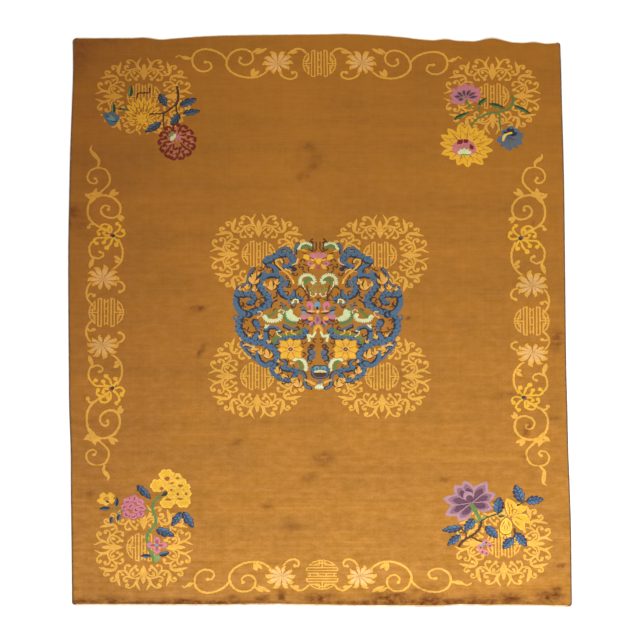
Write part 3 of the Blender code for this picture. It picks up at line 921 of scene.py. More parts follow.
def leaf_edge(base, tip, width, side, teeth):
    """Points along one edge of a leaf, saw-toothed towards the tip if it has teeth."""
    run = tip - base
    across = np.array([-run[1], run[0]]) / math.hypot(*run) * side * width / 2
    if teeth:
        steps = [(k + a) / teeth for k in range(teeth) for a in (0.25, 0.84, 0.93)]
        swell_out = (0.95, 1.12, 0.72) * teeth
    else:
        steps = np.linspace(0.08, 0.94, 7)
        swell_out = (1.0,) * 7
    return [
        base + run * t + across * grown * math.sin(math.pi * t**0.85) ** 0.7
        for t, grown in zip(steps, swell_out)
    ]


def leaf(figure, base, tip, width, dark, light, side=1, teeth=0):
    """A leaf with a light half and a dark half, each with a few veins."""
    base, tip = np.asarray(base, float), np.asarray(tip, float)
    run = tip - base
    across = np.array([-run[1], run[0]]) / math.hypot(*run) * side * width
    edges = [leaf_edge(base, tip, width, s, teeth) for s in (1, -1)]
    figure.put(dark, [[base, *edges[0], tip, *edges[1][::-1]]])
    low, high = base + run * 0.05, base + run * 0.93
    figure.put(light, [[low, *leaf_edge(low, high, 0.88 * width, side, teeth), high]])
    if teeth:
        figure.put("indigo", [[low, *leaf_edge(low, high, 0.62 * width, -side, 0), high]])
        for t in (0.2, 0.42, 0.62):
            start = base + run * t
            figure.line(dark, [start, start + run * 0.13 + 0.3 * across], 0.35, 0.4)
            figure.line(light, [start, start + run * 0.13 - 0.28 * across], 0.5, 0.4)
    figure.line(dark, [base, base + run * 0.8], 0.6, 0.35)


# A leaf or petal from one point to another, its light half on the left (1) or on the right (-1)
Leaf = namedtuple("Leaf", "x0 y0 x1 y1 width side", defaults=[1])


def leaves(figure, rows, dark, light, teeth=0):
    for row in rows:
        leaf(figure, row[:2], row[2:4], row.width, dark, light, row.side, teeth)


def petals(figure, yarn, rows, **shape):
    for row in rows:
        figure.petal(yarn, row[:2], row[2:4], row.width, **shape)


# Petals of the border lotus: degrees from its middle petal, and length in cm
LOTUS_PETALS = [
    (176, 7.2), (136, 7.8), (-134, 8.2), (104, 9.2), (-100, 9.4), (70, 9.8), (-70, 9.8), (40, 9.6),
    (-38, 9.8), (4, 10.0),
]
# Outline of one petal with a hooked tip, in shares of its length: along it and across it
HOOKED_PETAL = [
    (0, 0), (0.28, -0.08), (0.55, -0.17), (0.8, -0.18), (0.96, -0.06), (1.0, 0.2), (0.9, 0.12),
    (0.78, 0.15), (0.58, 0.17), (0.3, 0.08),
]


def hooked_petal(figure, yarn, x, y, angle, length, breadth):
    """A petal from x, y whose tip hooks to the left of its run, or to the right if breadth is negative."""
    along = np.array([math.cos(angle), math.sin(angle)])
    across = np.array([-along[1], along[0]]) * breadth
    figure.patch(yarn, [(x, y) + length * (u * along + v * across) for u, v in HOOKED_PETAL])


def border_lotus(figure, x, y, lean, size=1.0):
    """A pale lotus seen from the side, its hooked petals gold at their ends and parted by furrows."""
    for turn, length in LOTUS_PETALS:
        angle = math.radians(turn + lean + 90)
        hook = math.copysign(1.0, turn)
        length *= 1.02 * size
        hooked_petal(figure, None, x, y, angle, length + 0.3, 1.3 * hook)
        hooked_petal(figure, "gold", x, y, angle, length, 0.96 * hook)
        hooked_petal(figure, "peach", x, y, angle, 0.76 * length, 0.98 * hook)


# ---------------------------------------------------------------- border scrolls
Line = namedtuple("Line", "yarn width end knob points")

# One half of a side border, from its tendril to its round fret, as it lies at the far left
SIDE_SCROLLS = [
    Line("gold", 1.2, 1.3, 0, [(-121.3, 95.2), (-117.0, 93.8), (-114.8, 89.5), (-115.2, 84.5),
        (-120.5, 78.4)]),
    Line("gold", 1.2, 1.2, 1.9, [(-121.3, 95.2), (-125.2, 93.2), (-126.9, 89), (-125.6, 85.8),
        (-122.8, 84.9), (-121.4, 86.5), (-122.6, 88.0)]),
    Line("gold", 1.4, 1.4, 0, [(-124.6, 75.5), (-126.4, 70), (-126.2, 64), (-123.6, 59.6), (-119.6, 57.0),
        (-115, 55)]),
    Line("gold", 1.5, 1.2, 2.0, [(-123.5, 75.8), (-118, 77.4), (-112.4, 75.6), (-108.9, 71), (-109, 66),
        (-111.6, 63.2), (-115.4, 63.2), (-118.6, 65.4), (-119.3, 68.4), (-117.4, 70.8), (-114.9, 70.2),
        (-115.2, 68.4)]),
    Line("gold", 1.2, 1.2, 2.3, [(-122.4, 58.6), (-125.0, 58.9), (-126.0, 57.0)]),
    Line("gold", 1.3, 1.3, 0, [(-122.4, 49.5), (-125.3, 45), (-125.2, 40.4), (-123.8, 37.0)]),
    Line("gold", 1.2, 1.2, 2.0, [(-124.0, 38.2), (-120.8, 36.9), (-118.0, 38.4), (-118.0, 40.4),
        (-119.6, 41)]),
    Line("gold", 1.3, 1.3, 0, [(-109.6, 49), (-107.4, 43), (-107.7, 36.5), (-110.2, 32.2), (-114, 29)]),
    Line("gold", 1.4, 1.3, 2.2, [(-114, 22.8), (-109.4, 22.4), (-106.6, 20.2), (-106.4, 17),
        (-108.6, 15.6)]),
    Line("gold", 1.3, 1.3, 0, [(-120.6, 23), (-125, 20.8), (-126.8, 16), (-126.2, 11), (-123.4, 7.0)]),
    Line("gold", 1.2, 1.2, 2.4, [(-126.5, 12.4), (-124.8, 14.4), (-122.9, 13.4)]),
]
# Curled petals of the yellow flower in the side border
SIDE_FLOWER = [
    Line("yellow", 1.3, 1.5, 2.3, [(-112.3, 52.5), (-109.6, 55), (-108.7, 57.6), (-110.4, 59.2)]),
    Line("yellow", 1.3, 1.5, 2.4, [(-111.5, 51.8), (-108, 51), (-106.2, 53), (-107.4, 54.8)]),
    Line("yellow", 1.3, 1.4, 2.7, [(-112, 50.3), (-110.2, 47.6), (-110.8, 45.6)]),
    Line("yellow", 1.3, 1.5, 2.8, [(-112.8, 50), (-113.8, 46.5), (-116, 43.8)]),
    Line("yellow", 1.2, 1.3, 2.5, [(-113.5, 50.6), (-116.4, 49.5), (-117.6, 47.2)]),
    Line("yellow", 1.2, 1.3, 2.4, [(-114.3, 51), (-118, 50.2), (-121.5, 50), (-123, 48), (-121.6, 46.6)]),
    Line("yellow", 1.1, 1.1, 2.0, [(-114.5, 52), (-117, 51.8), (-117.6, 53.4)]),
    Line("yellow", 1.1, 1.1, 2.1, [(-113.8, 53), (-115.4, 54.6), (-115.0, 56.6)]),
    Line("yellow", 1.3, 1.2, 2.2, [(-113.6, 53.6), (-113.6, 57), (-116.5, 58.9), (-119, 58.2),
        (-119.2, 56.4)]),
    Line("yellow", 1.2, 1.2, 2.2, [(-115, 54), (-118.5, 55.6), (-121.2, 54.4), (-120.4, 52.6)]),
]
# Small leaves that hook off the scrolls
SIDE_LEAVES = [
    Leaf(-123.2, 74.2, -128.2, 78.4, 2.4), Leaf(-124.2, 75.0, -121.8, 82.0, 2.2),
    Leaf(-126.8, 78.2, -118.8, 78.6, 2.6), Leaf(-125.2, 72.0, -122.0, 78.8, 3.2),
    Leaf(-115.4, 76.6, -111.4, 81.6, 2.2), Leaf(-114.6, 76.8, -109.4, 79.4, 2.2),
    Leaf(-110.8, 64.6, -106.2, 62.4, 2.4), Leaf(-110.8, 64.4, -107.4, 60.6, 1.8),
    Leaf(-122.8, 38.4, -125.4, 30.6, 2.6), Leaf(-107.8, 35.2, -111.9, 38.6, 2.2),
    Leaf(-108.4, 34.0, -111.6, 35.6, 1.8),
]
# One half of an end border, from its tendril to its round fret, as it lies at the far left
END_SCROLLS = [
    Line("gold", 0.8, 1.3, 0, [(-79, 166.2), (-76.6, 167.6), (-73.4, 165.4), (-69.5, 166)]),
    Line("gold", 1.4, 1.2, 2.0, [(-50.5, 164.6), (-53.5, 168.4), (-58, 171), (-63.5, 171.8), (-68, 169.4),
        (-69.6, 165), (-68.6, 160.6), (-65.2, 157.6), (-61.2, 157.8), (-59.0, 160.2), (-60.2, 163.2),
        (-62.4, 163.4)]),
    Line("gold", 1.4, 1.2, 2.0, [(-50.5, 164.6), (-48.8, 168.4), (-45, 171.2), (-40.4, 171.6),
        (-36.9, 169.2), (-36.2, 165), (-38.4, 162.2), (-41.6, 161.8), (-43.8, 163.8), (-43.0, 166)]),
    Line("gold", 1.5, 1.3, 0, [(-50.5, 165.4), (-50.6, 161), (-48, 157), (-43.6, 154.4), (-38.6, 153.4),
        (-33.4, 154), (-29.6, 156.4), (-26, 160)]),
    Line("gold", 1.4, 1.3, 0, [(-19, 166), (-15.6, 169.8), (-12, 172), (-8.8, 171.4), (-6.8, 169.2)]),
    Line("gold", 1.3, 1.3, 2.1, [(-22, 157.6), (-19.4, 153.8), (-15.4, 152.4), (-12.2, 154),
        (-12.4, 156.8), (-14.4, 156.6)]),
]
END_LEAVES = [
    Leaf(-76.8, 167.2, -70.6, 165.8, 2.0), Leaf(-37.0, 153.6, -35.6, 159.4, 2.6),
    Leaf(-36.4, 153.6, -32.6, 158.0, 2.0), Leaf(-37.2, 169.0, -31.8, 172.4, 2.2),
    Leaf(-35.4, 168.2, -28.4, 172.4, 2.2), Leaf(-15.8, 169.0, -11.6, 170.4, 2.2),
]
TENDRIL_START = (-121.3, 95)  # where the drawn half of a side border ends in a long tendril
# Where the drawn half falls in each border. A landmark is its place drawn, its place on the rug, and how far
# it is moved across. A side border's half also has its tendril's tip and how far the tendril starts across.
SIDE_PLACES = {
    "border_left": ([
        (1, [(2.5, 2.5, 0), (110, 110, 0)], (-124.4, 110), 0),
        (1, [(2.5, 2.5, 0), (7.3, -2.6, 0), (23.5, -18, 0), (51.5, -45.6, 0.2), (77, -77, 0.6),
             (95, -94.4, 0.6)],
         (-114.6, -104), 4.4),
    ], (-116.0, 2.5)),
    "border_right": ([
        (-1, [(2.5, -3, 1.0), (7.3, 2, -0.8), (23.5, 19, -0.9), (51.5, 49.7, -2.0), (77, 77, -2.5),
              (95, 95.6, -2.4)],
         (122.6, 104), 0),
        (-1, [(2.5, -3, 1.0), (7.3, -10, -0.8), (23.5, -22.5, -0.9), (51.5, -51.5, -0.8), (77, -78, -2.3),
              (95, -95, -1.0)], (124.2, -107.5), 0),
    ], (116.5, -3.0)),
}
END_PLACES = {
    "border_far": ([
        (1, [(-79, -79, 0), (0.5, 0.5, 0)]),
        (1, [(-79, 79, -0.6), (-69.5, 71, -2.0), (-50.5, 50.5, -1.6), (-36, 36.6, -0.4), (-22.5, 24, 0),
             (-9, 9.4, 0), (0.5, 0.5, 0)]),
    ], (0.5, 162.5, 0)),
    "border_near": ([
        (-1, [(-79, -74, -3.6), (-69.5, -67, -2.6), (-50.5, -48, -2.4), (-36, -34, -1.4), (-22.5, -20, -1.4),
              (-9, -8, -0.6), (0.5, 2, -0.5)]),
        (-1, [(-79, 83, -2.0), (-69.5, 71.5, -1.8), (-50.5, 50, -2.2), (-36, 37, -1.4), (-22.5, 22.4, -1.4),
              (-9, 11, -0.6), (0.5, 2, -0.5)]),
    ], (2.0, -163.0, 90)),
}


def draw_lines(figure, lines):
    for line in lines:
        figure.line(line.yarn, line.points, 0.9 * line.width, 0.9 * line.end, line.knob)


def side_border(name):
    """Scrolls, yellow flowers and lotuses up one side, above and below its fret disc."""
    halves, (x, y) = SIDE_PLACES[name]
    figure = Figure(name)
    for mirror, landmarks, tip, across in halves:
        drawn, laid, moved = zip(*landmarks)
        start_x, start_y = TENDRIL_START
        joint = np.array([mirror * start_x + np.interp(start_y, drawn, moved) + across,
                          np.interp(start_y, drawn, laid)])
        figure.place()
        tip = np.array(tip)
        bend = (tip - joint) @ np.array([[0, 1], [-1, 0]]) * 0.10 * mirror
        figure.stroke("gold", [
            (*joint, 1.1), (*(joint * 0.72 + tip * 0.28 - bend), 1.7), (*(joint * 0.45 + tip * 0.55), 2.4),
            (*(joint * 0.2 + tip * 0.8 + bend), 1.5), (*tip, 0.3)])
        figure.place_along(1, landmarks, mirror)
        draw_lines(figure, SIDE_SCROLLS)
        petals(figure, "gold", SIDE_LEAVES, belly=0.6)
        border_lotus(figure, -117.9, 23.6, -14, 0.9)
        draw_lines(figure, SIDE_FLOWER)
        figure.disc("rose", -113.3, 52.0, 1.3)
        figure.disc("forest", -112.5, 51.5, 1.15)
    figure.place(x, y)
    fret_disc(figure, radius=9.8)
    return figure


def end_border(name):
    """Scrolls and lotuses along one end, on either side of its fret disc."""
    halves, (x, y, turn) = END_PLACES[name]
    figure = Figure(name)
    for mirror, landmarks in halves:
        figure.place_along(0, landmarks, mirror)
        draw_lines(figure, END_SCROLLS)
        petals(figure, "gold", END_LEAVES, belly=0.6)
        border_lotus(figure, -22.4, 162.4, 18, 0.86)
    figure.place(x, y, turn=turn)
    fret_disc(figure)
    return figure


# ---------------------------------------------------------------- corner sprays
def curled_bloom(figure, x, y, wide, high, rings):
    """A chrysanthemum of curled crimson petals in rings: share of the radius, how many, and size."""
    for number, (share, count, size) in enumerate(rings):
        for k in range(count):
            a = 2 * math.pi * (k + 0.5 * (number % 2)) / count + 0.2
            way = 1 if math.cos(a) > -0.3 else -1
            out = np.array([math.cos(a), math.sin(a)])
            over = way * np.array([out[1], -out[0]])
            tip = np.array([x, y]) + share * out * (wide, high)
            start = tip - 2.7 * size * out - 1.2 * size * over
            end = tip + 1.0 * size * over - 0.5 * size * out
            bow = [start, tip - 0.9 * size * out - 1.0 * size * over, tip - 0.1 * size * over, end]
            figure.line("crimson", bow, 0.8 * size, 1.3 * size, 1.9 * size)
            figure.line("pink", [start + 1.0 * size * over, tip - 1.1 * size * out + 0.4 * size * over],
                        0.6, 0.4)


SCALLOP = 0.12  # depth of a wavy rim, as a share of its radius


def scalloped(figure, yarn, x, y, wide, high=None, lobes=6):
    """A round petal with a wavy rim."""
    angles = np.arange(lobes * 6) * 2 * math.pi / (lobes * 6)
    reach = 1 - SCALLOP + SCALLOP * np.abs(np.cos(lobes * angles / 2)) * 1.6
    high = high or wide
    figure.put(yarn, [np.stack([x + wide * reach * np.cos(angles), y + high * reach * np.sin(angles)], 1)])


def veins(figure, yarn, centre, tips, start, end, width, thin):
    """Lines up petals, over a share of the way from their centre to their tips."""
    for tip in tips:
        figure.line(yarn, [toward(centre, tip, start), toward(centre, tip, end)], width, thin)


def far_left_spray(figure):
    """A dark branch with a crimson chrysanthemum, a yellow lotus and a blue bud."""
    leaves(figure, [Leaf(-103.9, 140.8, -103.2, 148.2, 3.0), Leaf(-112.8, 130.2, -113, 137, 2.6),
                    Leaf(-105.6, 129.2, -105.6, 136, 2.2), Leaf(-106.4, 132.6, -110.4, 133, 1.6)],
           "forest", "sage")
    figure.line("brown", [(-93, 146.5), (-93.2, 143.6), (-96, 143.4), (-99.4, 143), (-100, 140.6),
                          (-100, 137)], 1.0, 0.8)
    far = [(-106.6, 131.6), (-105.6, 135.8), (-102.8, 138.2), (-99.6, 140.2), (-96, 141.2), (-92.4, 140.2),
           (-89.4, 138), (-87.2, 134.4), (-87.4, 129.6), (-106, 126.8), (-104, 122.6), (-100.2, 118.8),
           (-94.6, 119.2), (-90.4, 123.6)]
    petal_fan(figure, "yellow", (-96.6, 126.4), far, 2.9, cut=0.35, belly=0.68)
    middle = [toward((-96.6, 126), tip, 0.66, (-95.6, 126)) for tip in far[::2]]
    petal_fan(figure, "yellow", (-96.6, 126), middle, 2.5, cut=0.45, belly=0.62)
    inner = [toward((-96.6, 125), tip, 0.4, (-98.0, 125)) for tip in far[::2]]
    petal_fan(figure, "yellow", (-97, 125), inner, 2.1, cut=0.4, belly=0.62)
    veins(figure, "umber", (-96.6, 126), far, 0.35, 0.8, 0.55, 0.35)
    figure.line("brown", [(-77.9, 147.2), (-77.3, 142), (-77.6, 138), (-79.4, 135.2), (-82.4, 132.4),
                          (-86, 130.2), (-93, 129.8)], 1.5, 0.9)
    figure.line("brown", [(-78.6, 137), (-78.2, 133), (-77.6, 129)], 1.0, 0.8)
    figure.line("brown", [(-85.4, 130.4), (-85.4, 126), (-85, 120.4)], 1.0, 0.7)
    bud = [(-118.8, 130.2), (-117.6, 126.8), (-115.8, 123.6), (-115, 131.2), (-112, 129.8)]
    petal_fan(figure, "azure", (-110.6, 124.4), bud, 4.0, cut=0.3, belly=0.6)
    for tip in ((-117, 128.6), (-114.4, 125.4), (-113.6, 129)):
        figure.line("navy", [(-111.2, 124.8), tip], 0.6, 0.4)
    petal_fan(figure, "sky", (-111.6, 125.4), [(-116.6, 127.4), (-115.2, 129.6)], 1.6, cut=0.0)
    leaves(figure, [Leaf(-87.6, 142.8, -83.6, 134.6, 4.8), Leaf(-76.4, 135.2, -67.0, 139.8, 5.0, -1),
                    Leaf(-74.6, 130.2, -65.0, 131.8, 4.4, -1), Leaf(-76.4, 129.6, -81.4, 122.4, 4.8, -1),
                    Leaf(-86.6, 124.4, -95.4, 118, 4.8, -1)], "navy", "blue", teeth=3)
    curled_bloom(figure, -77.8, 111.8, 10.9, 12.2, [(0.40, 6, 1.05), (0.66, 9, 1.15), (0.93, 13, 1.3)])
    for k in range(9):
        a = 2 * math.pi * k / 9
        figure.petal("pink", (-78.6, 114.6), (-78.6 + 4.6 * math.cos(a), 115.2 + 4.0 * math.sin(a)), 1.3,
                     belly=0.6)
    for x, y in ((-72.6, 116), (-70.6, 111), (-82.8, 109.6), (-74.4, 104.6), (-80.4, 104)):
        figure.petal("pink", (x, y), (x + 2.2, y + 1.6), 1.2)
    figure.petal("cream", (-81.6, 112.4), (-78.4, 117), 2.6, belly=0.5)
    figure.disc("sage", -81, 116.6, 1.3)


def far_right_spray(figure):
    """Green stems with a purple lotus, a yellow lotus with a rosy heart and a blue flower."""
    for points, width, end in (
        ([(106.6, 141.6), (107.2, 138), (106, 134.6), (103, 132), (99, 131)], 1.4, 1.2),
        ([(99, 131), (94, 130.2), (89.6, 128.2), (85.8, 125), (83.6, 120.6), (82.2, 115.6), (81, 112.6)],
         1.4, 0.9),
        ([(99.6, 131), (99.6, 126), (100.2, 119.4)], 1.2, 0.9),
        ([(80.8, 140), (82.4, 136.4), (85, 133.2)], 1.5, 0.7),
        ([(90, 138), (88.4, 133.4), (88.6, 130.2)], 1.1, 0.8),
    ):
        figure.line("green", points, width, end)
    leaves(figure, [Leaf(94.0, 136.6, 102.8, 133.4, 2.9, -1), Leaf(107.6, 135.4, 116.8, 130, 2.7, -1),
                    Leaf(88.0, 135.8, 92.8, 140.4, 2.7, -1), Leaf(74.2, 126.2, 82.8, 131, 2.6, -1)],
           "forest", "green")
    petal_fan(figure, "orchid", (81.4, 139.6), [
        (72.6, 137.6), (72.4, 142), (73.6, 146), (77, 148.4), (80.8, 149.6), (85.2, 149.2), (88.6, 146.6),
        (89.8, 143), (88.6, 139.8), (76, 137)], 4.4, cut=0.3, belly=0.6, blunt=0.25)
    heart = (81.2, 140)
    for x, y in ((74.8, 141.4), (76.6, 143.8), (79.6, 145), (83, 145.2), (86, 143.8), (87, 141.2),
                 (77, 138.8)):
        figure.petal("mauve", heart, toward(heart, (x, y), 1.16), 2.8, belly=0.65)
        figure.petal("plum", toward(heart, (x, y), 0.25), (x, y), 1.8, belly=0.6)
        figure.line("plum", [toward((80.6, 140), (x, y), 0.5, heart), (x + 0.9, y + 0.2)], 0.6, 0.4)
    figure.line("rose", [(80.8, 140.4), (82, 141.4)], 0.7, 0.5)
    outer = [(66.6, 111), (67.4, 116.2), (71, 120.6), (77.4, 123.6), (82.8, 123.2), (87, 121.6),
             (91.4, 119.4), (93, 115.6), (96.4, 113.4), (96, 106.2), (93.2, 101.8), (90.6, 97),
             (86.2, 98.2), (82.2, 95.2), (76.6, 96.6), (72, 100.6), (67.6, 104)]
    heart = (80.6, 107.8)
    petal_fan(figure, "yellow", heart, outer, 5.0, cut=0.35, belly=0.64)
    veins(figure, "amber", heart, outer, 0.5, 0.86, 0.55, 0.35)
    inner = [toward((80, 107), tip, 0.66, heart) for tip in outer]
    petal_fan(figure, "yellow", heart, inner, 2.6, cut=0.25, belly=0.6)
    veins(figure, "umber", heart, outer[::2], 0.4, 0.62, 0.5, 0.4)
    figure.patch("pink", [(73.6, 106), (74.4, 110.4), (77.4, 113.2), (81.6, 113.4), (85.4, 110.6),
                          (86.8, 106.2), (84.6, 103.8), (80.2, 103.2), (75.8, 103.8)])
    petals(figure, "crimson", [Leaf(76.2, 110.2, 79.4, 113.2, 3.0), Leaf(79.6, 111.4, 82.4, 113, 2.6),
                               Leaf(83.4, 110.4, 84.8, 106.6, 2.4)])
    for a in (-58, -28, 0, 28, 58):
        c, t = math.sin(math.radians(a)), math.cos(math.radians(a))
        figure.petal("cream", (80.2 + 1.0 * c, 103.4), (80.2 + 4.4 * c, 103.2 + 4.6 * t), 2.0, belly=0.6)
    figure.petal("sage", (76.6, 103.6), (84, 103.4), 1.0)
    petal_fan(figure, "azure", (104.6, 115.2), [
        (98.2, 111.8), (100.8, 108.8), (104, 106.8), (108, 108), (111.8, 110.6), (112.6, 115), (110.4, 119.4),
        (106.6, 121.8), (101.6, 119.4)], 5.2, cut=0.3, belly=0.64, blunt=0.25)
    for tip in ((102.2, 109.8), (106.4, 109), (109.6, 112), (100, 112.6)):
        figure.line("navy", [(104.4, 114.8), tip], 0.9, 0.5)
    petal_fan(figure, "slate", (105, 114.6), [(112, 112.6), (109.6, 107.4), (105.4, 105.6), (100.2, 108.4),
                                              (113, 117.4), (98.6, 113.4)], 2.2, cut=0.2, belly=0.64)
    petal_fan(figure, "navy", (105.4, 115.8), [(104.4, 120.8), (107, 120.4), (109.4, 117.6),
                                               (101.6, 118.2)], 2.6, cut=0)
    figure.line("lemon", [(101.6, 112.8), (101.8, 115.2), (103.4, 116.6), (106, 117.6)], 1.2, 1.4)
    figure.line("cream", [(102, 113.6), (103, 116.4)], 0.6, 0.4)


# The yellow peony's scalloped petals and the dark hollows between them: place, half width and half height
Lobe = namedtuple("Lobe", "x y wide high")
YELLOW_LOBES = [
    Lobe(-84.6, -105.6, 3.0, 2.6), Lobe(-82.7, -100.4, 4.1, 3.7), Lobe(-87.6, -107.2, 3.8, 4.2),
    Lobe(-76.3, -101.3, 1.9, 2.0), Lobe(-73.7, -105.0, 2.3, 2.2), Lobe(-71.5, -108.0, 2.1, 2.1),
    Lobe(-71.2, -112.1, 2.4, 2.5), Lobe(-78.4, -105.2, 2.7, 2.3), Lobe(-75.6, -108.4, 2.7, 2.3),
    Lobe(-81.4, -108.4, 2.5, 2.2), Lobe(-79.0, -110.0, 2.4, 2.0), Lobe(-75.2, -112.0, 2.7, 2.4),
    Lobe(-79.8, -113.0, 2.9, 2.3), Lobe(-82.1, -118.0, 4.1, 3.5), Lobe(-73.4, -117.6, 4.0, 3.5),
]
YELLOW_GROUND = [
    (-90, -107), (-86, -102.5), (-82, -98), (-75, -101), (-71.6, -106), (-69.8, -112), (-70.6, -119),
    (-77.6, -118.6), (-85, -119), (-84.4, -115), (-82.6, -113), (-84.6, -110.6),
]
YELLOW_EYES = [
    Lobe(-82.2, -102.8, 1.4, 1.4), Lobe(-85.2, -109.0, 1.0, 1.1), Lobe(-76.6, -102.5, 1.0, 0.6),
    Lobe(-79.5, -105.6, 1.0, 0.5), Lobe(-75.1, -107.2, 1.3, 0.8), Lobe(-80.0, -109.8, 0.6, 0.7),
    Lobe(-76.4, -112.5, 0.7, 1.0), Lobe(-71.9, -112.3, 0.7, 0.9), Lobe(-81.5, -115.9, 1.8, 0.6),
    Lobe(-75.1, -115.5, 1.8, 0.5), Lobe(-83.2, -110.6, 0.8, 0.6),
]


def near_left_spray(figure):
    """A green stem with a yellow peony, a pink peony and two small flowers."""
    figure.line("green", [(-84.4, -113), (-87.6, -115.2), (-89.8, -118.6), (-89.8, -122.6), (-88.4, -127),
                          (-88.4, -131.4), (-91.4, -135.4), (-93, -139.4), (-92.4, -144.6), (-90.8, -149.4),
                          (-88.6, -154.4)], 1.4, 2.0)
    figure.petal("sage", (-86.8, -150.4), (-88.6, -155.6), 3.2, belly=0.4)
    figure.line("green", [(-89.8, -124.6), (-92, -122.8), (-94.6, -122.6)], 0.9, 0.7)
    figure.line("green", [(-104, -122.6), (-107, -123.4), (-109.6, -125.6)], 0.8, 0.6)
    figure.line("green", [(-112, -121.6), (-108.4, -121.4), (-106, -122.4)], 0.7, 0.6)
    for yarn, grow in ((None, 0.5), ("yellow", 0)):
        for x, y, wide, high in YELLOW_LOBES:
            scalloped(figure, yarn, x, y, wide + grow, high + grow)
    figure.patch("yellow", YELLOW_GROUND)
    for x, y, wide, high in YELLOW_LOBES:
        for yarn, less in (("amber", 0), ("lemon", 0.2), ("yellow", 0.85)):
            scalloped(figure, yarn, x, y, wide - less, high - less)
    for x, y, wide, high in YELLOW_EYES:
        figure.patch("amber", [(x - wide - 0.3, y), (x, y + high + 0.3), (x + wide + 0.3, y),
                               (x, y - high - 0.2)])
        figure.patch("umber", [(x - wide, y), (x, y + 0.8 * high), (x + wide, y), (x, y - high)])
    leaf(figure, (-81.8, -111.2), (-85.2, -113.6), 2.4, "forest", "navy")
    pinks = [(-103.8, -117.2, 2.5), (-100.2, -115.4, 2.6), (-96.8, -117.8, 2.4), (-105.2, -121, 2.3),
             (-104.2, -125.2, 2.4), (-100.4, -126.6, 2.3), (-96.6, -125, 2.4), (-95.8, -121.4, 2.3),
             (-101.8, -120.2, 2.6), (-98.8, -122.4, 2.6)]
    for x, y, r in pinks:
        figure.disc(None, x, y, r + 0.3, sides=12)
    for x, y, r in pinks:
        figure.disc("rose", x, y, r, sides=12)
        scalloped(figure, "orchid", x, y + 0.15, r - 0.3, lobes=5)
    for k, (x, y, r) in enumerate(pinks):
        c, t = 1.0 * math.cos(1.3 * k), 1.0 * math.sin(1.3 * k)
        figure.line("crimson", [(x - c, y - t), (x + 0.4 * t, y - 0.4 * c), (x + c, y + t)], 0.5, 0.6)
    for x, y, r in ((-116.8, -113.6, 2.0), (-113, -113.8, 2.2), (-118.2, -116.8, 1.8),
                    (-112.4, -116.6, 1.8), (-115.4, -118, 1.8)):
        scalloped(figure, "yellow", x, y, r, lobes=4)
    figure.disc("amber", -115.2, -115.6, 1.6)
    figure.petal("navy", (-115.6, -116.6), (-113.4, -118), 1.2)
    for a in (90, 0, 180, 270):
        figure.place(-87.6, -144.6, turn=a - 90)
        figure.petal(None, (0, 0), (0, 6.0), 4.6, belly=0.62, blunt=0.45)
        figure.petal("orchid", (0, 0), (0, 5.4), 3.8, belly=0.62, blunt=0.45)
        figure.petal("rose", (0, 0.4), (0, 3.8), 1.7, belly=0.5)
    figure.place()
    figure.disc("sky", -87.6, -144.5, 1.0)
    leaves(figure, [Leaf(-98.6, -106.8, -91, -115.6, 4.6), Leaf(-74.4, -123.6, -79.6, -132.8, 4.6),
                    Leaf(-73.4, -123.6, -67.8, -133.6, 5.2), Leaf(-88.2, -134.4, -78, -138.8, 5.6)],
           "navy", "azure", teeth=3)
    leaves(figure, [Leaf(-113.2, -121.4, -119, -121.8, 2.6), Leaf(-109.8, -120, -109.4, -114.6, 2.4),
                    Leaf(-107.8, -125, -109, -129.6, 2.4), Leaf(-112, -126.6, -112.8, -131.2, 2.0),
                    Leaf(-90.8, -151.4, -96.4, -151.4, 2.6), Leaf(-86.2, -151, -80.6, -149, 3.2)],
           "navy", "blue")


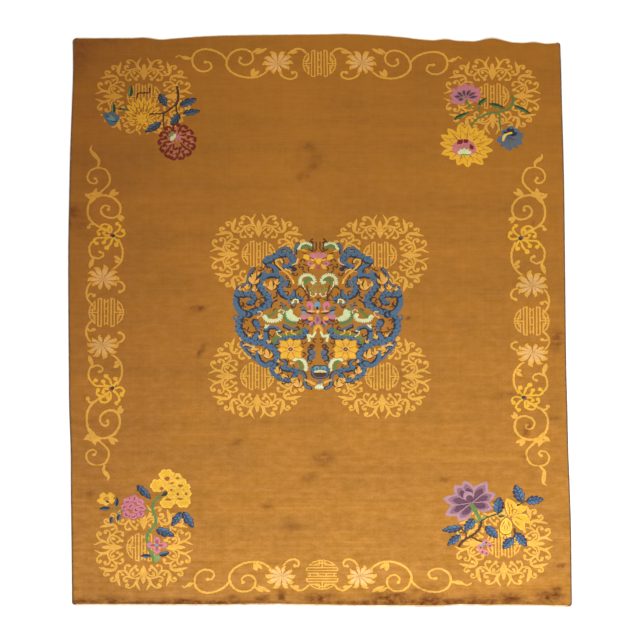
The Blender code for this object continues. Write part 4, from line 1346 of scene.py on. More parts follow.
def near_right_spray(figure):
    """A dark branch with a mauve lotus, a yellow lily and lobed blue leaves."""
    lily = [((104.0, -126.6), (102.0, -115.2), 6.6, -1.6), ((106.6, -124.4), (113.2, -120.6), 4.6, 0.6),
            ((105.6, -126.2), (115.0, -131.0), 5.4, 1.2), ((105.0, -127.6), (111.8, -135.6), 5.2, 0.8),
            ((102.2, -134.6), (103.8, -140.4), 3.0, 0), ((100.4, -134.4), (99.2, -139.8), 2.8, 0)]
    for yarn, grow in ((None, 1.4), ("umber", 0.5), ("lemon", 0), ("yellow", -1.3)):
        for base, tip, wide, bend in lily:
            figure.petal(yarn, base, tip, wide + grow, bend, belly=0.5)
    bell = np.array([(101.8, -127.2), (104.2, -129.2), (105.2, -132.6), (104.6, -136), (102.6, -137.6),
                     (99.8, -137.4), (98.2, -134.4), (99.2, -130.2)])
    for yarn, share in ((None, 1.12), ("umber", 1.04), ("lemon", 0.96), ("yellow", 0.8)):
        figure.patch(yarn, bell.mean(0) + share * (bell - bell.mean(0)))
    figure.patch("amber", [(101.8, -128.8), (103.6, -131.2), (103.4, -133.6), (101.6, -134.4),
                           (99.8, -133.2), (100, -130.8)])
    for x in (99.8, 101.6, 103.4):
        figure.line("lemon", [(101.8, -128.6), (x, -134.6)], 0.5, 0.7)
    for points in (
        [(103.6, -125.4), (103.4, -121), (102.5, -117.6)], [(105, -125), (105.4, -121.6), (104.2, -118.6)],
        [(104.6, -123.2), (106.2, -122), (107.6, -122.8), (106.8, -124.4)], [(107, -127), (110.4, -128.6)],
        [(106.6, -129.4), (109, -132)],
    ):
        figure.line("umber", points, 0.5, 0.4)
    for points, width, end in (
        ([(76.2, -145.2), (78.6, -141.6), (82.6, -139), (86, -136), (88, -132), (88, -129.2)], 1.7, 1.3),
        ([(88, -129.6), (91, -127.4), (94.4, -126), (97.4, -125)], 1.1, 0.8),
        ([(79.6, -140), (83, -139.8), (86, -141.2), (88.4, -142.4)], 1.0, 0.7),
        ([(80.2, -139.8), (79.8, -136.6), (77.6, -134.6)], 0.9, 0.7),
        ([(76.8, -136.6), (79.8, -137)], 0.7, 0.7),
        ([(107.8, -119.6), (110.2, -118.2), (112.4, -117)], 0.9, 0.7),
        ([(106.2, -134.4), (106.4, -138.4), (104.6, -140.6)], 1.2, 0.9),
        ([(106.4, -136.4), (108.8, -138)], 0.9, 0.7),
    ):
        figure.line("brown", points, width, end)
    figure.line("green", [(84, -119.6), (86, -125), (87.6, -129)], 2.6, 1.6)
    figure.petal("green", (87.4, -128.6), (83.6, -131), 2.0)
    figure.petal("sage", (88, -128.6), (91.2, -126), 1.6)
    leaf(figure, (97.6, -126.6), (101.2, -126), 1.8, "forest", "green")
    heart = np.array([83.4, -118.0])
    tips = np.array([(94.4, -121.6), (96.2, -112.0), (91.6, -104.6), (79.3, -104.0), (73.8, -106.8),
                     (67.6, -115.4), (68.8, -125.6), (75.8, -129.4)])
    for yarn, share, wide in ((None, 1.05, 8.4), ("mauve", 1.0, 7.4), ("heather", 0.84, 5.8),
                              ("plum", 0.68, 4.8)):
        for tip in tips:
            figure.petal(yarn, heart, heart + share * (tip - heart), wide, belly=0.56)
    for one, two in zip(tips, tips[1:]):
        edge = 0.5 * (one + two) - heart
        figure.line("mauve", [heart, heart + 0.4 * edge, heart + 0.78 * edge], 0.45, 0.7)
    figure.petal("mauve", heart, (79.8, -110.8), 5.6, belly=0.6)
    figure.petal("plum", heart, (81.0, -113.2), 4.2, belly=0.6)
    figure.line("green", [(83.2, -119.4), (84.6, -122.4)], 2.4, 2.8)
    leaves(figure, [Leaf(97.4, -125, 98.2, -114.2, 6.2), Leaf(110.4, -117.6, 106.8, -106.6, 6.2, -1),
                    Leaf(112.6, -117.2, 122.2, -115.4, 6.0, -1), Leaf(84, -127.8, 79.4, -136, 5.4),
                    Leaf(78.2, -133.4, 67, -135.4, 4.8, -1), Leaf(77, -138, 69.8, -144.6, 4.6),
                    Leaf(90.8, -132.4, 96.8, -140.2, 5.6), Leaf(105.6, -139.8, 99.8, -147, 5.6),
                    Leaf(107, -136.8, 112.8, -145.4, 5.6, -1)], "navy", "azure", teeth=4)
    for x, y in ((90.4, -142.6), (87.4, -145.8), (90.6, -149.4), (92.6, -144.6), (88.4, -148.4)):
        scalloped(figure, "pink", x, y, 1.7, lobes=4)
        figure.disc("crimson", x + 0.4, y - 0.4, 0.6)
    figure.petal("sky", (88, -145.4), (90.2, -143), 1.6)


SPRAYS = {
    "round_corner_far_left": far_left_spray,
    "round_corner_far_right": far_right_spray,
    "round_corner_near_left": near_left_spray,
    "round_corner_near_right": near_right_spray,
}


# ---------------------------------------------------------------- the middle medallion
# Bodies of the two facing dragons, as they lie in the left half: yarn, width at the start and at the end in
# cm, how far their dark outline is moved (x, y), and the points along them
Body = namedtuple("Body", "yarn width end shade points")
DRAGON_BODIES = [
    Body("slate", 1.4, 2.0, (0.3, -0.3), [(-22.8, 40.4), (-20.4, 43.2), (-17.4, 43.6), (-15.6, 41.6)]),
    Body("slate", 1.6, 1.2, (0.3, 0), [(-11.2, 46), (-12.8, 43.4), (-12.6, 40.4)]),
    Body("slate", 1.6, 0.9, (0.3, 0), [(-35.6, 30.2), (-38, 26.6), (-38.4, 22.6), (-40.6, 20),
        (-44.6, 18.4)]),
    Body("slate", 1.5, 1.0, (0.3, 0.1), [(-36.6, 22.4), (-37.4, 19), (-36.6, 15.6)]),
    Body("slate", 1.7, 1.2, (0.3, 0.2), [(-42, -17.4), (-40.4, -21), (-37.2, -24.8), (-34.6, -27.6)]),
    Body("slate", 1.2, 0.9, (0.2, 0.3), [(-40, -20), (-37, -20.4), (-35.8, -22.4)]),
    Body("slate", 1.4, 1.2, (0.3, 0), [(-19.6, -27.8), (-17.4, -29.6), (-18.8, -31.8)]),
    Body("slate", 1.6, 1.6, (0.4, 0), [(-11.4, -35), (-8.2, -36.4), (-7.4, -40), (-7.2, -43.8),
        (-4.4, -45.8)]),
    Body("slate", 2.0, 1.4, (-0.3, -0.4), [(-17.8, -5.8), (-15.4, -7.4), (-12, -8.2)]),
    Body("blue", 3.8, 2.8, (0.2, -0.6), [(-28.6, 35.6), (-25.4, 37.4), (-22, 39.4), (-18, 40.2),
        (-14.8, 38.6), (-13.6, 35.6), (-15.2, 32.8), (-18.6, 32)]),
    Body("blue", 1.8, 3.0, (-0.5, 0), [(-27.4, 32.8), (-24.8, 31.8), (-23, 30), (-22.9, 26.8)]),
    Body("blue", 2.2, 2.4, (0, -0.8), [(-30, 25), (-26.4, 26.5), (-22.6, 26.2), (-19.8, 23.6)]),
    Body("blue", 3.0, 3.6, (-0.9, 0.1), [(-29.4, 26), (-31.4, 22.6), (-31.2, 18.6), (-28.8, 15),
        (-26.6, 11.2), (-27.4, 7.6), (-30.8, 4.4), (-35, 2.6), (-39, 1.2)]),
    Body("blue", 3.0, 2.0, (-0.7, -0.4), [(-19.8, 24.6), (-20, 20.6), (-20.4, 17.4), (-18.8, 13.8),
        (-15.4, 12.2), (-12, 12.6), (-8.4, 10.8)]),
    Body("blue", 1.6, 2.0, (0.3, 0), [(-16.8, 22), (-17.6, 19.4)]),
    Body("blue", 1.0, 2.0, (0.3, 0), [(-13.4, 16.6), (-13.6, 13.4)]),
    Body("blue", 2.2, 3.6, (0.8, -0.2), [(-44.4, 16.8), (-45.2, 12), (-45, 7.4), (-42.8, 3.2),
        (-38.6, 1.2)]),
    Body("blue", 3.2, 2.2, (0.2, -0.7), [(-44.4, 14.2), (-40.6, 14.2), (-37, 14.4), (-35, 12), (-36, 9.4),
        (-38, 9)]),
    Body("blue", 1.6, 1.2, (0.2, 0.2), [(-42, 15), (-43.6, 17.8)]),
    Body("blue", 2.8, 3.6, (0.9, 0.2), [(-40.6, 2), (-43.2, -1.6), (-43.9, -6), (-42.9, -10.4),
        (-39.8, -14.4), (-35.2, -16.6), (-30.4, -17), (-26.4, -19.2)]),
    Body("blue", 3.6, 2.2, (0.8, -0.3), [(-26.6, -19), (-23.2, -22.4), (-22.6, -26.4), (-24.4, -30.4),
        (-25.2, -34.4), (-22.8, -38), (-18.8, -40), (-15.4, -40.8)]),
    Body("blue", 2.0, 3.0, (0.5, 0.4), [(-33.2, -22), (-33.4, -26), (-32, -29.4), (-29, -31.4),
        (-25.6, -29.8)]),
    Body("blue", 1.8, 3.0, (0.7, 0), [(-28.8, -7.6), (-28.8, -11.4), (-28.6, -15.4)]),
    Body("blue", 1.8, 1.4, (0, -0.6), [(-28.6, -8.4), (-26.4, -6.6), (-23.2, -6.8), (-20.6, -9.4)]),
    Body("blue", 3.4, 2.6, (-0.5, 0.4), [(-34, -4), (-32.4, -7.4)]),
    Body("blue", 2.0, 2.8, (0.3, 0.5), [(-33, -10.8), (-34.6, -13.8)]),
    Body("blue", 2.6, 1.8, (0, -0.5), [(-7.6, -7.8), (-7, -11), (-9.6, -13.2), (-14.4, -13.5), (-19, -14),
        (-22.8, -17)]),
    Body("blue", 2.6, 2.2, (-0.4, -0.5), [(-19.4, -32.4), (-16, -33.6), (-13, -33.8), (-11.6, -36),
        (-13.4, -38.4)]),
    Body("slate", 2.6, 2.8, (-0.5, 0.2), [(-3.6, -22.6), (-2.6, -24.6), (-4.0, -26.8)]),
]
MEDALLION_GROUND = 42.0  # radius of the plain ground under it, in cm
# Horns, curls and the green backs of the clouds, in the order they are laid
MEDALLION_LINES = [
    Line("navy", 2.6, 2.0, 0, [(-19.4, 34.2), (-20.4, 36.4), (-23, 36), (-23.2, 33.6), (-20.2, 29.6)]),
    Line("gold", 1.5, 1.2, 0, [(-19.6, 34.4), (-20.6, 36.2), (-22.8, 35.8), (-22.8, 33.8), (-19.6, 29.8),
        (-16.2, 26.4), (-13.8, 22.6)]),
    Line("lemon", 1.0, 1.2, 0, [(-13.9, 23), (-13.5, 21.2)]),
    Line("navy", 1.0, 1.6, 2.8, [(-16, 31.4), (-14.4, 31.4), (-13, 30)]),
    Line("peach", 1.3, 0.9, 0, [(-11.2, 36.6), (-11.8, 34), (-14, 32.8)]),
    Line("peach", 1.1, 0.7, 0, [(-18, 30), (-15.8, 29.2), (-14.8, 27.6)]),
    Line("slate", 1.3, 1.5, 0, [(-28.8, 29.2), (-30.2, 27.4), (-28.4, 27.4)]),
    Line("slate", 1.5, 1.2, 1.6, [(-16.4, 9.4), (-14, 7.6), (-11.2, 8.2)]),
    Line("slate", 1.2, 1.0, 0, [(-20.4, 8.2), (-18, 6), (-19.6, 5)]),
    Line("cream", 0.9, 0.9, 1.5, [(-11, 8.6), (-11.2, 10.6), (-13.2, 10.6), (-13.8, 8.8)]),
    Line("navy", 0.9, 0.9, 1.4, [(-25.8, 5.6), (-24.8, 8.6), (-22.8, 10.2)]),
    Line("navy", 0.8, 0.8, 1.3, [(-22.8, 15.4), (-22.6, 12.8), (-24, 11.8)]),
    Line("slate", 1.2, 0.9, 0, [(-44.6, 0.8), (-46, 0.2), (-45.8, -2)]),
    Line("cream", 1.5, 0.7, 0, [(-28.8, -7.2), (-27, -5.4)]),
    Line("cream", 1.1, 0.7, 0, [(-28, -6.8), (-28.8, -5.2)]),
    Line("green", 2.2, 1.4, 0, [(-9, -8.6), (-10.6, -10.8), (-14, -11.6), (-19, -12.2), (-22, -12.8)]),
    Line("green", 2.2, 1.6, 0, [(-22, -13.2), (-24.4, -14.4), (-23.6, -17.2)]),
    Line("cream", 0.6, 0.5, 0.9, [(-20, -13), (-22, -11.6), (-22.6, -9.6), (-21, -9.4)]),
    Line("lemon", 0.6, 0.5, 0.9, [(-12.2, -11.6), (-14.6, -10.6), (-14.4, -9)]),
    Line("lemon", 0.6, 0.5, 0.9, [(-17, -12), (-17.8, -10.4), (-16.6, -9.6)]),
    Line("peach", 1.2, 0.8, 0, [(-40.6, -18.4), (-38.6, -17.8), (-36.8, -19.2), (-35, -18.8)]),
    Line("green", 1.8, 2.8, 0, [(-3.6, 23.2), (-5.6, 23.8), (-7.4, 21.2)]),
    Line("green", 2.6, 2.2, 0, [(-9.4, 43.8), (-6.8, 45), (-4.2, 44)]),
    Line("green", 1.8, 1.6, 0, [(-28.4, 0.4), (-26, 0.2), (-24.2, 2.4), (-22.2, 4)]),
    Line("green", 2.0, 2.6, 0, [(-16.6, 5), (-18.4, 1), (-16.8, -3), (-12.8, -4.6)]),
    Line("green", 1.8, 2.2, 0, [(-11.4, -28.2), (-9.6, -30), (-9.2, -33.6)]),
    Line("cream", 3.0, 2.2, 0, [(-15.2, 3.2), (-14.6, 0.6), (-12, -1.4)]),
    Line("cream", 0.7, 0.6, 0, [(-12, -1.4), (-10.4, -1.0), (-9.4, -2.2)]),
    Line("cream", 0.6, 0.5, 0.9, [(-19.2, 1.6), (-18.6, 3.2), (-20.2, 4.4), (-21.4, 3.4)]),
    Line("peach", 0.9, 0.7, 1.3, [(-32.8, 2.8), (-30.8, 2.8), (-31.2, 0.4), (-33, -0.6)]),
    Line("cream", 0.8, 0.7, 1.1, [(-8.4, 22), (-8.3, 19), (-7.4, 17.4)]),
    Line("gold", 1.9, 1.9, 0, [(-0.2, -6), (-1.5, -7.6), (-1.9, -10)]),
    Line("cream", 1.4, 1.6, 0, [(-1.6, -10.4), (-3, -13), (-5.2, -12), (-4.8, -15.6)]),
    Line("cream", 0.9, 0.8, 0, [(-5.2, -13.6), (-6, -11.6)]),
    Line("sage", 0.7, 0.7, 1.0, [(0.2, 19.9), (-1.8, 20.4), (-3.4, 18.6), (-3.2, 16.4), (-1.6, 15.2),
        (-1.0, 17)]),
    Line("sage", 0.7, 0.6, 0.9, [(-3.2, 16.6), (-4.2, 17.8), (-5.2, 17)]),
    Line("cream", 0.7, 0.6, 1.2, [(-4.4, 15.4), (-4.2, 13.2), (-2, 12.8), (-1.2, 14.2)]),
    Line("brown", 0.8, 0.8, 0, [(-1.1, 47.4), (-1.1, 43), (-2.6, 41.4), (-4.4, 42.4)]),
    Line("brown", 0.8, 0.8, 0, [(-3.2, 47.2), (-2.8, 44)]),
    Line("brown", 0.9, 0.8, 1.3, [(-12.4, 16.4), (-9.8, 18.8), (-8, 17.6), (-6.8, 14.6), (-5, 13.6)]),
    Line("brown", 0.8, 0.7, 1.2, [(-6.2, 19.6), (-5.8, 16.8), (-4.8, 14.4), (-5, 11.6)]),
    Line("brown", 0.9, 0.6, 0, [(-38.6, -9.4), (-36.4, -10.2), (-34, -9.6)]),
    Line("gold", 1.3, 1.9, 0, [(-7, -40.4), (-4.4, -41.6), (-2.2, -43)]),
]
# Cream crests of the clouds: width, which side is combed, and the points along them
Crest = namedtuple("Crest", "width side points")
CRESTS = [
    Crest(1.5, 1, [(-9.8, 20.8), (-9.3, 24.2), (-7.2, 26), (-4.6, 25.9), (-2.6, 24.2), (-2.0, 22),
        (-3.4, 21.6)]),
    Crest(1.1, 1, [(-10.4, 43.2), (-9, 45.8), (-6.4, 46.6), (-3.8, 45.2)]),
    Crest(2.2, -1, [(-29, 0), (-27.6, -2.2), (-24, -2.6), (-21.2, -1.6), (-21, 0.8)]),
    Crest(1.8, 1, [(-13, -27.8), (-10.4, -26.8), (-8, -28.6), (-7, -31), (-6.8, -34)]),
    Crest(1.6, -1, [(-16.4, 2.8), (-16.2, 0), (-14, -1.8), (-11.4, -2)]),
]
# Flames: where they start, which way they lick in degrees from upright, and size
Flame = namedtuple("Flame", "x y turn size")
FLAMES = [
    Flame(-35.4, 20.4, -6, 1.5), Flame(-38.8, 17, -4, 0.8), Flame(-42.4, 16.2, 8, 0.6),
    Flame(-34.6, 15.6, 4, 0.8), Flame(-25, 16.6, 10, 1.3), Flame(-28.4, 19, 20, 0.7),
    Flame(-22.8, 20.2, -10, 0.8), Flame(-19.4, 28.6, 50, 0.5), Flame(-36.4, -12.4, 60, 0.55),
    Flame(-31.8, -14.4, -20, 0.7), Flame(-25.6, -16.6, 60, 0.6), Flame(-26.4, -26.8, 20, 1.3),
    Flame(-37, -21.6, -80, 1.0), Flame(-31, -24.6, 0, 0.9), Flame(-21.6, -36.6, 10, 1.0),
    Flame(-20.2, -38.2, -90, 0.7), Flame(-10.2, -45, 20, 1.3), Flame(-14.8, -41.6, -50, 0.8),
    Flame(-15.6, -30.6, -70, 0.6), Flame(-21.4, -29.6, 10, 0.5),
]
# The little dark curls that fill the ground between them: their shape, the turn from one to the next in
# degrees, and their places
CURL = [(0, 0), (0.8, 1.2), (2.0, 1.2), (2.4, 0.1)]
CURL_TURN = 137.5
DARK_CURLS = [
    (-9.6, 35), (-8.4, 31.6), (-8.2, 28.6), (-5.2, 29), (-11.2, 27.4), (-10.4, 31), (-13.2, 27.2),
    (-31.4, 31.4), (-30, 29.8), (-34, 27.6), (-33.2, 10.8), (-31, 9.6), (-34.4, 6), (-36.8, 6.6),
    (-39.4, 6), (-41.6, 9), (-23.8, 17.6), (-12.4, 6.6), (-9.8, 5.4), (-8.6, 8), (-11, 14.6), (-8, 12),
    (-3.2, 10.8), (-1.3, 11.6), (-40, -4.6), (-38, -7), (-10.6, -2.8), (-9.2, -4.8), (-11.4, -6.2),
    (-8, -6.4), (-6.6, -16.6), (-4.2, -18), (-1.6, -16.8), (-8.4, -19), (-5.8, -20.6), (-2.6, -20),
    (-8.2, -23), (-7.2, -14.4), (-16.2, -28.2), (-15.2, -31.6), (-19.6, -36.2), (-16.6, -37.4),
    (-12.8, -44.4), (-17.4, -42.2), (-25.4, -13), (-30.8, -9), (-24, -11), (-29, -20.8), (-27.6, -24),
    (-20.4, 9), (-24.4, 2.6), (-33, -2), (-18.2, 15.6), (-16.2, 24), (-5.4, -8.4), (-6, -29), (-4, -30),
    (-19.2, -9.6), (-4.6, 45.8), (-2.6, 43.6), (-5.4, 42.8), (-2.4, 47.0), (-13, 8.4), (-15.6, 10),
    (-17.6, 7.2), (-6.6, 10.2), (-3.4, -21), (-10.2, -9.8), (-12.6, -8), (-29.2, 6.6), (-34.6, -8.2),
    (-13.6, -3.2), (-18, -27.4), (-22.6, -31), (-24.6, 27), (-15.4, 20.6),
]


def outlined(figure, body):
    """One stretch of a dragon's body: a dark outline on one side, wavy edges and the tips of dark scales."""
    dx, dy = body.shade
    figure.line("navy", [(x + dx, y + dy) for x, y in body.points], body.width + 0.7, body.end + 0.7,
                wave=0.14)
    figure.line(body.yarn, body.points, 0.93 * body.width, 0.93 * body.end, wave=0.16)
    line = spline(body.points, 2.1)
    along, across = directions(line)
    widths = np.linspace(body.width, body.end, len(line))
    for k in range(1, len(line) - 1):
        side = 1 if k % 2 else -1
        rim = line[k] + side * 0.5 * widths[k] * across[k]
        if body.width > 2.5:
            figure.line("navy", [rim, rim - 0.42 * side * widths[k] * across[k] + 0.5 * along[k]], 0.6, 0.4)
            if k % 4 < 2:
                tip = rim + 0.7 * side * across[k] - 1.0 * along[k]
                figure.line(body.yarn, [rim - 0.2 * along[k], tip], 1.1, 0.5)


def crest(figure, width, side, points):
    """A cream cloud crest with a combed outer side."""
    line = spline(points, 1.2)
    along, across = directions(line)
    for spot, out, run in zip(line, side * across, along):
        figure.petal("cream", spot - 0.2 * out, spot + (0.5 * width + 0.65) * out - 0.5 * run, 0.85)
    figure.line("cream", points, width, 0.7 * width, 1.1 * width)


# A flame's tongues: where the tip is, width, lean and yarn
TONGUES = [((0.4, 6.2), 2.2, 0.5, "gold"), ((-2.2, 3.9), 1.5, 0.4, "peach"), ((2.1, 3.4), 1.4, -0.4, "gold")]


def flame(figure, x, y, turn, size):
    """Three tongues of gold and peach on a dark root."""
    c, s = math.cos(math.radians(turn)), math.sin(math.radians(turn))

    def at(across, up):
        return x + size * (across * c - up * s), y + size * (across * s + up * c)

    for dx, dy, grow, root in ((0.3, -0.4, 1.1, "brown"), (0, 0, 0, None)):
        for tip, width, lean, yarn in TONGUES:
            figure.petal(root or yarn, at(dx * 0.5, dy * 0.5), at(tip[0] + dx, tip[1] + dy),
                         (width + grow) * size, lean * size)


def star_flower(figure, x, y, radius):
    """An eight-pointed yellow flower in two layers."""
    for yarn, share, width in (("amber", 1.07, 0.66), ("yellow", 1.0, 0.55)):
        for k in range(8):
            a = math.radians(45 * k + 2)
            tip = radius * share * (1.06 if k % 2 else 0.92)
            figure.petal(yarn, (x, y), round_from(x, y, tip, a), width * radius, belly=0.5)
            figure.petal(yarn, (x, y), round_from(x, y, 0.86 * tip, a + 0.26), 0.6 * width * radius,
                         belly=0.6)
    for k in range(8):
        a = math.radians(45 * k + 24)
        figure.line("amber", [round_from(x, y, 1.6, a), round_from(x, y, 0.7 * radius, a)], 0.75, 0.4)
        figure.line("gold", [round_from(x, y, 2, a - 0.4), round_from(x, y, 4.6, a - 0.4)], 0.5, 0.4)
    figure.disc("peach", x, y, 1.9)
    figure.disc("brown", x, y, 1.3)
    figure.disc("amber", x, y, 0.6)


def cut_for(figure, middle, x, y):
    """Cuts a round figure back to the medallion's ground and to what reaches beyond it on that side."""
    figure.disc(None, 0, 0, MEDALLION_GROUND)
    for _, parts in middle.shapes:
        beyond = [part for part in parts
                  if np.hypot(*part.T).max() > MEDALLION_GROUND - 1 and part[0] @ (x, y) > 0]
        if beyond:
            figure.shapes.append((None, beyond))


# Petals of the flowers on the middle line, those of one half and those in the middle: base, tip and width
Petal = namedtuple("Petal", "yarn x0 y0 x1 y1 width")
HALF_PETALS = [
    Petal("navy", -2.6, 1.6, -9.8, 4.4, 1.4), Petal("crimson", -3.4, -1.4, -9.4, -3.4, 1.4),
    Petal("orchid", -2.2, -2, -4.4, -6.6, 2.4), Petal("slate", -6.4, 3.6, -9.2, 6.8, 1.9),
    Petal("orchid", -3.4, 1.2, -10, -0.8, 3.6), Petal("mauve", -4.4, 0.8, -8.6, 1.2, 1.5),
    Petal("orchid", -3.2, 3.2, -5.2, 9.6, 3.8), Petal("rose", -4.2, 3.6, -5.0, 7.2, 1.2),
    Petal("sky", -6.6, 2.8, -9.2, 2.2, 2.0), Petal("crimson", -2.4, 0, -5.8, -4.4, 2.2),
    Petal("slate", -5.4, -2.2, -6.8, -5.2, 1.7), Petal("gold", -2.6, -0.2, -5.4, -2.4, 3.0),
    Petal("slate", -2.4, -4.2, -3.8, -7.2, 1.7), Petal("crimson", -1.4, -2.2, -2.6, -5.4, 1.3),
    Petal("peach", -1.0, 3.1, -6.4, 3.3, 1.1), Petal("brown", -0.6, 1.8, -6.0, 1.4, 0.8),
    Petal("brown", -4.6, 32.0, -8.6, 33.2, 0.7), Petal("brown", -4.8, 39.4, -8.8, 40.6, 0.7),
    Petal("amber", -2.4, 35, -6.4, 36.6, 1.6), Petal("yellow", -5.0, 35.8, -7.6, 39.4, 3.6),
    Petal("orchid", -2.6, 34.2, -6.2, 33.0, 3.0), Petal("rose", -3.0, 34, -5.0, 33.4, 1.2),
    Petal("gold", -1.4, 33.6, -4.4, 30.0, 2.2), Petal("gold", -0.6, 36.6, -4.2, 36.2, 2.2),
    Petal("orchid", -0.4, 37.0, -4.6, 39.8, 3.4), Petal("brown", -1.6, 36.2, -4.4, 37.6, 0.6),
]
MIDDLE_PETALS = [
    Petal("sky", -0.6, 3.4, -0.6, 9.8, 3.6), Petal("navy", -0.6, 3.2, -0.6, 6.4, 1.6),
    Petal("peach", -0.4, 1.6, -0.4, 4.2, 1.8), Petal("mauve", -0.4, 1.2, -0.6, -5.6, 4.2),
    Petal("rose", -0.4, 0.4, -0.6, -3.8, 1.8), Petal("pink", 0, 36.8, 0, 41, 3.6),
    Petal("yellow", 0, 32.4, 0, 37.2, 3.0), Petal("rose", 0, 33.2, 0, 29.8, 2.4),
]


def draw_petals(figure, rows):
    for row in rows:
        figure.petal(row.yarn, row[1:3], row[3:5], row.width, belly=0.6)


def lion_mask(figure):
    """A small blue lion's mask over a tassel."""
    figure.place(0.9, -4.3, scale=0.88)
    for yarn, grow in (("navy", 0.55), ("blue", 0)):
        figure.patch(yarn, [(side * (w + grow), y + grow * up) for side, w, y, up in (
            (-1, 5.2, -33.4, 0.4), (-1, 3.4, -31.2, 1), (1, 0, -31, 1), (1, 3.4, -31.2, 1),
            (1, 5.2, -33.4, 0.4), (1, 5.0, -37, -0.4), (1, 3, -39.4, -1), (1, 0, -39.8, -1),
            (-1, 3, -39.4, -1), (-1, 5.0, -37, -0.4))])
    for side in (-1, 1):
        figure.disc("sky", side * 2.1, -32.7, 1.7)
        figure.disc("slate", side * 5.2, -33.4, 1.3)
        figure.disc("navy", side * 1.9, -33.1, 0.55)
        figure.line("slate", [(side * 0.4, -42), (side * 2, -43.4), (side * 2.2, -45)], 0.7, 0.6)
    figure.line("cream", [(-3.4, -35.2), (0, -34.4), (3.4, -35.2)], 1.2, 1.2)
    figure.line("lemon", [(-2.8, -35.8), (0, -35.2), (2.8, -35.8)], 0.7, 0.7)
    figure.patch("brown", [(-3.8, -36), (0, -35.8), (3.8, -36), (3.2, -38.4), (0, -39), (-3.2, -38.4)])
    figure.line("slate", [(0, -41), (0, -44)], 1.0, 0.9)
    for k in range(-2, 3):
        figure.petal("cream", (-0.6 + 0.5 * k, -43.8), (-0.6 + 1.3 * k, -48.2 + 0.3 * abs(k)), 1.1, belly=0.6)
    figure.place()


def medallion(figure):
    """Two facing dragons among clouds, flames and flowers: one half and its mirror image, then the middle."""
    for flip in (False, True):
        figure.place(-0.2, 0, flip=flip)
        for k, (x, y) in enumerate(DARK_CURLS):
            c, s = math.cos(math.radians(CURL_TURN * k)), math.sin(math.radians(CURL_TURN * k))
            figure.line("brown", [(x + u * c - v * s, y + u * s + v * c) for u, v in CURL], 0.65, 0.6, 1.0)
        for body in DRAGON_BODIES:
            outlined(figure, body)
        for x, y, turn, size in FLAMES:
            flame(figure, x, y, turn, 0.82 * size)
        draw_lines(figure, MEDALLION_LINES)
        for row in CRESTS:
            crest(figure, *row)
        star_flower(figure, -15, -21, 7.4)
        draw_petals(figure, HALF_PETALS)
    figure.place(0, 0)
    draw_petals(figure, MIDDLE_PETALS)
    lion_mask(figure)


# ---------------------------------------------------------------- side cords and end webs
WRAP = 0.0048  # one turn of the overcasting yarn along the cord
GROOVE = 0.80  # the cord's radius between two turns, as a share
LEAN = 0.0010  # how far each turn leans along the cord
CORD_FACETS = 10
CORD_TURN_IN = {key: 0.022 if radius > 0.015 else 0.013 for key, radius in CORNER_RADIUS.items()}


def corner_turn(side, end):
    """Plan points round one corner of the pile, from its end to its side."""
    radius = CORNER_RADIUS[side, end]
    inward = 1 if side == "left" else -1
    edge = left_edge if side == "left" else right_edge
    wall = near_edge if end == "near" else far_edge
    y = float(wall(edge(1.8 if end == "far" else -1.8)))
    x = float(edge(y))
    upward = 1 if end == "near" else -1
    start_x = x + inward * CORD_TURN_IN[side, end]
    turn = [(start_x, float(wall(start_x)))]
    for a in np.linspace(math.pi / 2, 0, 7):
        turn.append((x + inward * radius * (1 - math.cos(a)), y + upward * radius * (1 - math.sin(a))))
    return turn


def even_steps(line, step):
    """The same line with its points an even step apart."""
    line = np.asarray(line, float)
    run = np.concatenate([[0], np.cumsum(np.linalg.norm(np.diff(line, axis=0), axis=1))])
    places = np.linspace(0, run[-1], round(run[-1] / step) + 1)
    return np.stack([np.interp(places, run, line[:, k]) for k in range(line.shape[1])], 1)


def outward(line, side):
    """Unit vectors along one of the rug's side lines and away from the rug."""
    along, left = directions(line)
    return along, left * (1 if side == "left" else -1)


def side_cord(side):
    """The overcast cord along one side: a core wound with yarn, each turn a ridge round it."""
    edge = left_edge if side == "left" else right_edge
    near, far = corner_turn(side, "near"), corner_turn(side, "far")
    y = np.linspace(near[-1][1], far[-1][1], 240)[1:-1]
    rim = even_steps(near + list(zip(edge(y), y)) + far[::-1], WRAP / 2)
    along, out = outward(rim, side)
    centre = rim + out * (SEAT_GAP + CORD_RADIUS)
    height = CORD_RADIUS + lift(rim[:, 0], rim[:, 1])
    slope = np.gradient(height) / (WRAP / 2)
    count = len(rim)
    radius = np.where(np.arange(count) % 2, GROOVE, 1.0) * CORD_RADIUS
    radius[[0, -1]] *= 0.6
    angles = np.arange(CORD_FACETS) * 2 * math.pi / CORD_FACETS
    x_side, z_up = np.cos(angles), np.sin(angles)
    points = np.empty((count, CORD_FACETS, 3))
    lean = LEAN * np.sin(angles)
    points[..., 0] = centre[:, :1] + out[:, :1] * radius[:, None] * x_side + along[:, :1] * lean
    points[..., 1] = centre[:, 1:] + out[:, 1:] * radius[:, None] * x_side + along[:, 1:] * lean
    points[..., 2] = height[:, None] + radius[:, None] * z_up + slope[:, None] * lean
    index = np.arange(count * CORD_FACETS).reshape(count, CORD_FACETS)
    turned = np.roll(index, -1, axis=1)
    quads = np.stack([index[:-1], index[1:], turned[1:], turned[:-1]], -1).reshape(-1, 4)
    faces = quads.tolist() + [index[0].tolist(), index[-1][::-1].tolist()]
    if side == "right":
        faces = [face[::-1] for face in faces]
    return mesh_piece(f"cord_{side}", points.reshape(-1, 3), faces, [OVERCAST], smooth_below=70)


WEB_STEP = 0.006


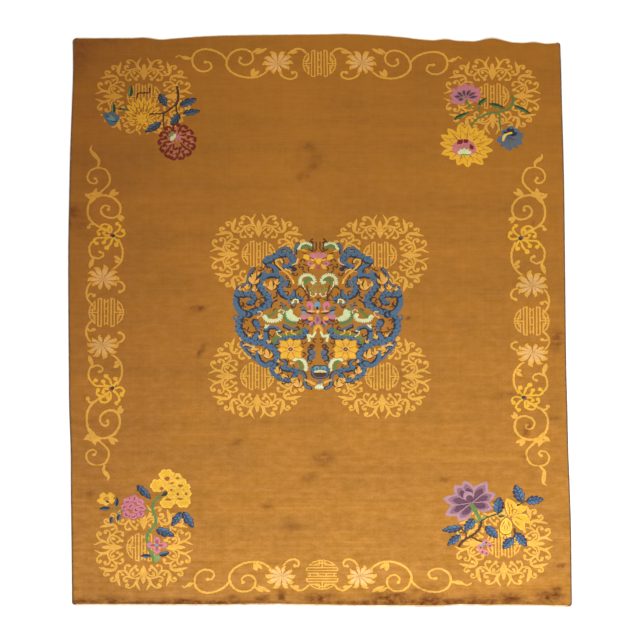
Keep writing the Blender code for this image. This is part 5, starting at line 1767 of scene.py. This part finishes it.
def end_web(end):
    """The flat cotton web beyond the pile at one end, between the turned-in ends of the cords."""
    edge, out = (near_edge, -1) if end == "near" else (far_edge, 1)
    left, right = corner_turn("left", end)[0][0], corner_turn("right", end)[0][0]
    x = np.linspace(left + SEAT_GAP, right - SEAT_GAP, round((right - left) / WEB_STEP))
    wall = edge(x)
    base = lift(x, wall)
    cut = 0.0006 * np.sin(37 * x + 3) * np.sin(11 * x)
    across = (SEAT_GAP, 0.45 * WEB_REACH, WEB_REACH)
    section = [(reach, 0.0) for reach in across] + [
        (reach, WEB_THICKNESS * share) for reach, share in zip(across[::-1], (0.55, 0.9, 1.0))
    ]
    points = np.empty((len(x), len(section), 3))
    for k, (reach, z) in enumerate(section):
        points[:, k, 0] = x
        points[:, k, 1] = wall + out * (reach + (cut if reach == WEB_REACH else 0))
        points[:, k, 2] = base + z
    index = np.arange(points.size // 3).reshape(len(x), len(section))
    turned = np.roll(index, -1, axis=1)
    quads = np.stack([index[:-1], turned[:-1], turned[1:], index[1:]], -1).reshape(-1, 4)
    faces = quads.tolist() + [index[0][::-1].tolist(), index[-1].tolist()]
    if end == "near":
        faces = [face[::-1] for face in faces]
    return mesh_piece(f"web_{end}", points.reshape(-1, 3), faces, [COTTON], smooth_below=60)


# ---------------------------------------------------------------- stage, light and camera
VIEW_ELEVATION = math.radians(59.1)
AIM = (0.00823, -0.01632, 0.0)
CAMERA_DISTANCE = 89.796
LENS = 924.46
FLOOR_REACH = 60.0
FLOOR_COLOUR = (0.93, 0.93, 0.93, 1)
SKY_STRENGTH = 0.85
LAMP_SIZE = (5.0, 4.0)
LAMP_ENERGY = 260.0
LAMP_PLACE = (1.2, -2.6, 5.2)
LAMP_AIM = (0, -0.4, 0)


def stage():
    """A plain pale floor, soft light from all round and the camera at the photograph's angle."""
    floor_mesh = bpy.data.meshes.new("floor")
    corners = [(x * FLOOR_REACH, y * FLOOR_REACH, 0) for x, y in ((-1, -1), (1, -1), (1, 1), (-1, 1))]
    floor_mesh.from_pydata(corners, [], [(0, 1, 2, 3)])
    floor = bpy.data.objects.new("floor", floor_mesh)
    bpy.context.scene.collection.objects.link(floor)
    material, _, shader = bare_material("pale_floor")
    shader.inputs["Base Color"].default_value = FLOOR_COLOUR
    shader.inputs["Roughness"].default_value = 0.9
    floor_mesh.materials.append(material)

    world = bpy.data.worlds.new("studio")
    world.use_nodes = True
    sky = world.node_tree.nodes["Background"]
    sky.inputs["Color"].default_value = (1, 1, 1, 1)
    sky.inputs["Strength"].default_value = SKY_STRENGTH
    bpy.context.scene.world = world
    bpy.context.scene.view_settings.view_transform = "Standard"

    lamp = bpy.data.lights.new("softbox", "AREA")
    lamp.shape = "RECTANGLE"
    lamp.size, lamp.size_y = LAMP_SIZE
    lamp.energy = LAMP_ENERGY
    light = bpy.data.objects.new("softbox", lamp)
    light.location = LAMP_PLACE
    light.rotation_euler = (Vector(LAMP_AIM) - light.location).to_track_quat("-Z", "Y").to_euler()
    bpy.context.scene.collection.objects.link(light)

    camera = bpy.data.cameras.new("camera")
    camera.lens, camera.sensor_width = LENS, 36.0
    camera.clip_start, camera.clip_end = 1.0, 400.0
    holder = bpy.data.objects.new("camera", camera)
    back = Vector((0, -math.cos(VIEW_ELEVATION), math.sin(VIEW_ELEVATION)))
    holder.location = Vector(AIM) + back * CAMERA_DISTANCE
    holder.rotation_euler = (-back).to_track_quat("-Z", "Y").to_euler()
    bpy.context.scene.collection.objects.link(holder)
    bpy.context.scene.camera = holder


# ---------------------------------------------------------------- assembly
def main():
    stage()
    field = plain_pile()
    mark_soil_and_shade(field)
    figures = []
    middle = Figure("medallion")
    medallion(middle)
    for name, (x, y, high) in ROUND_PLACES.items():
        figure = Figure(name)
        round_figure(figure, x, y, high)
        if name in SPRAYS:
            SPRAYS[name](figure)
        else:
            cut_for(figure, middle, x, y)
        figures.append(knotted(figure))
    figures.append(knotted(middle))
    figures += [knotted(side_border(name)) for name in SIDE_PLACES]
    figures += [knotted(end_border(name)) for name in END_PLACES]
    cords = [side_cord(side) for side in ("left", "right")]
    webs = [end_web(end) for end in ("far", "near")]
    for piece in (field, *figures, *cords, *webs):
        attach(piece, "root")
    for piece, side in zip(cords, ("left", "right")):
        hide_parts(f"side_cord_{side}")
    for piece, end in zip(webs, ("far", "near")):
        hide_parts(f"end_web_{end}")
    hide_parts("pile_rug")


main()
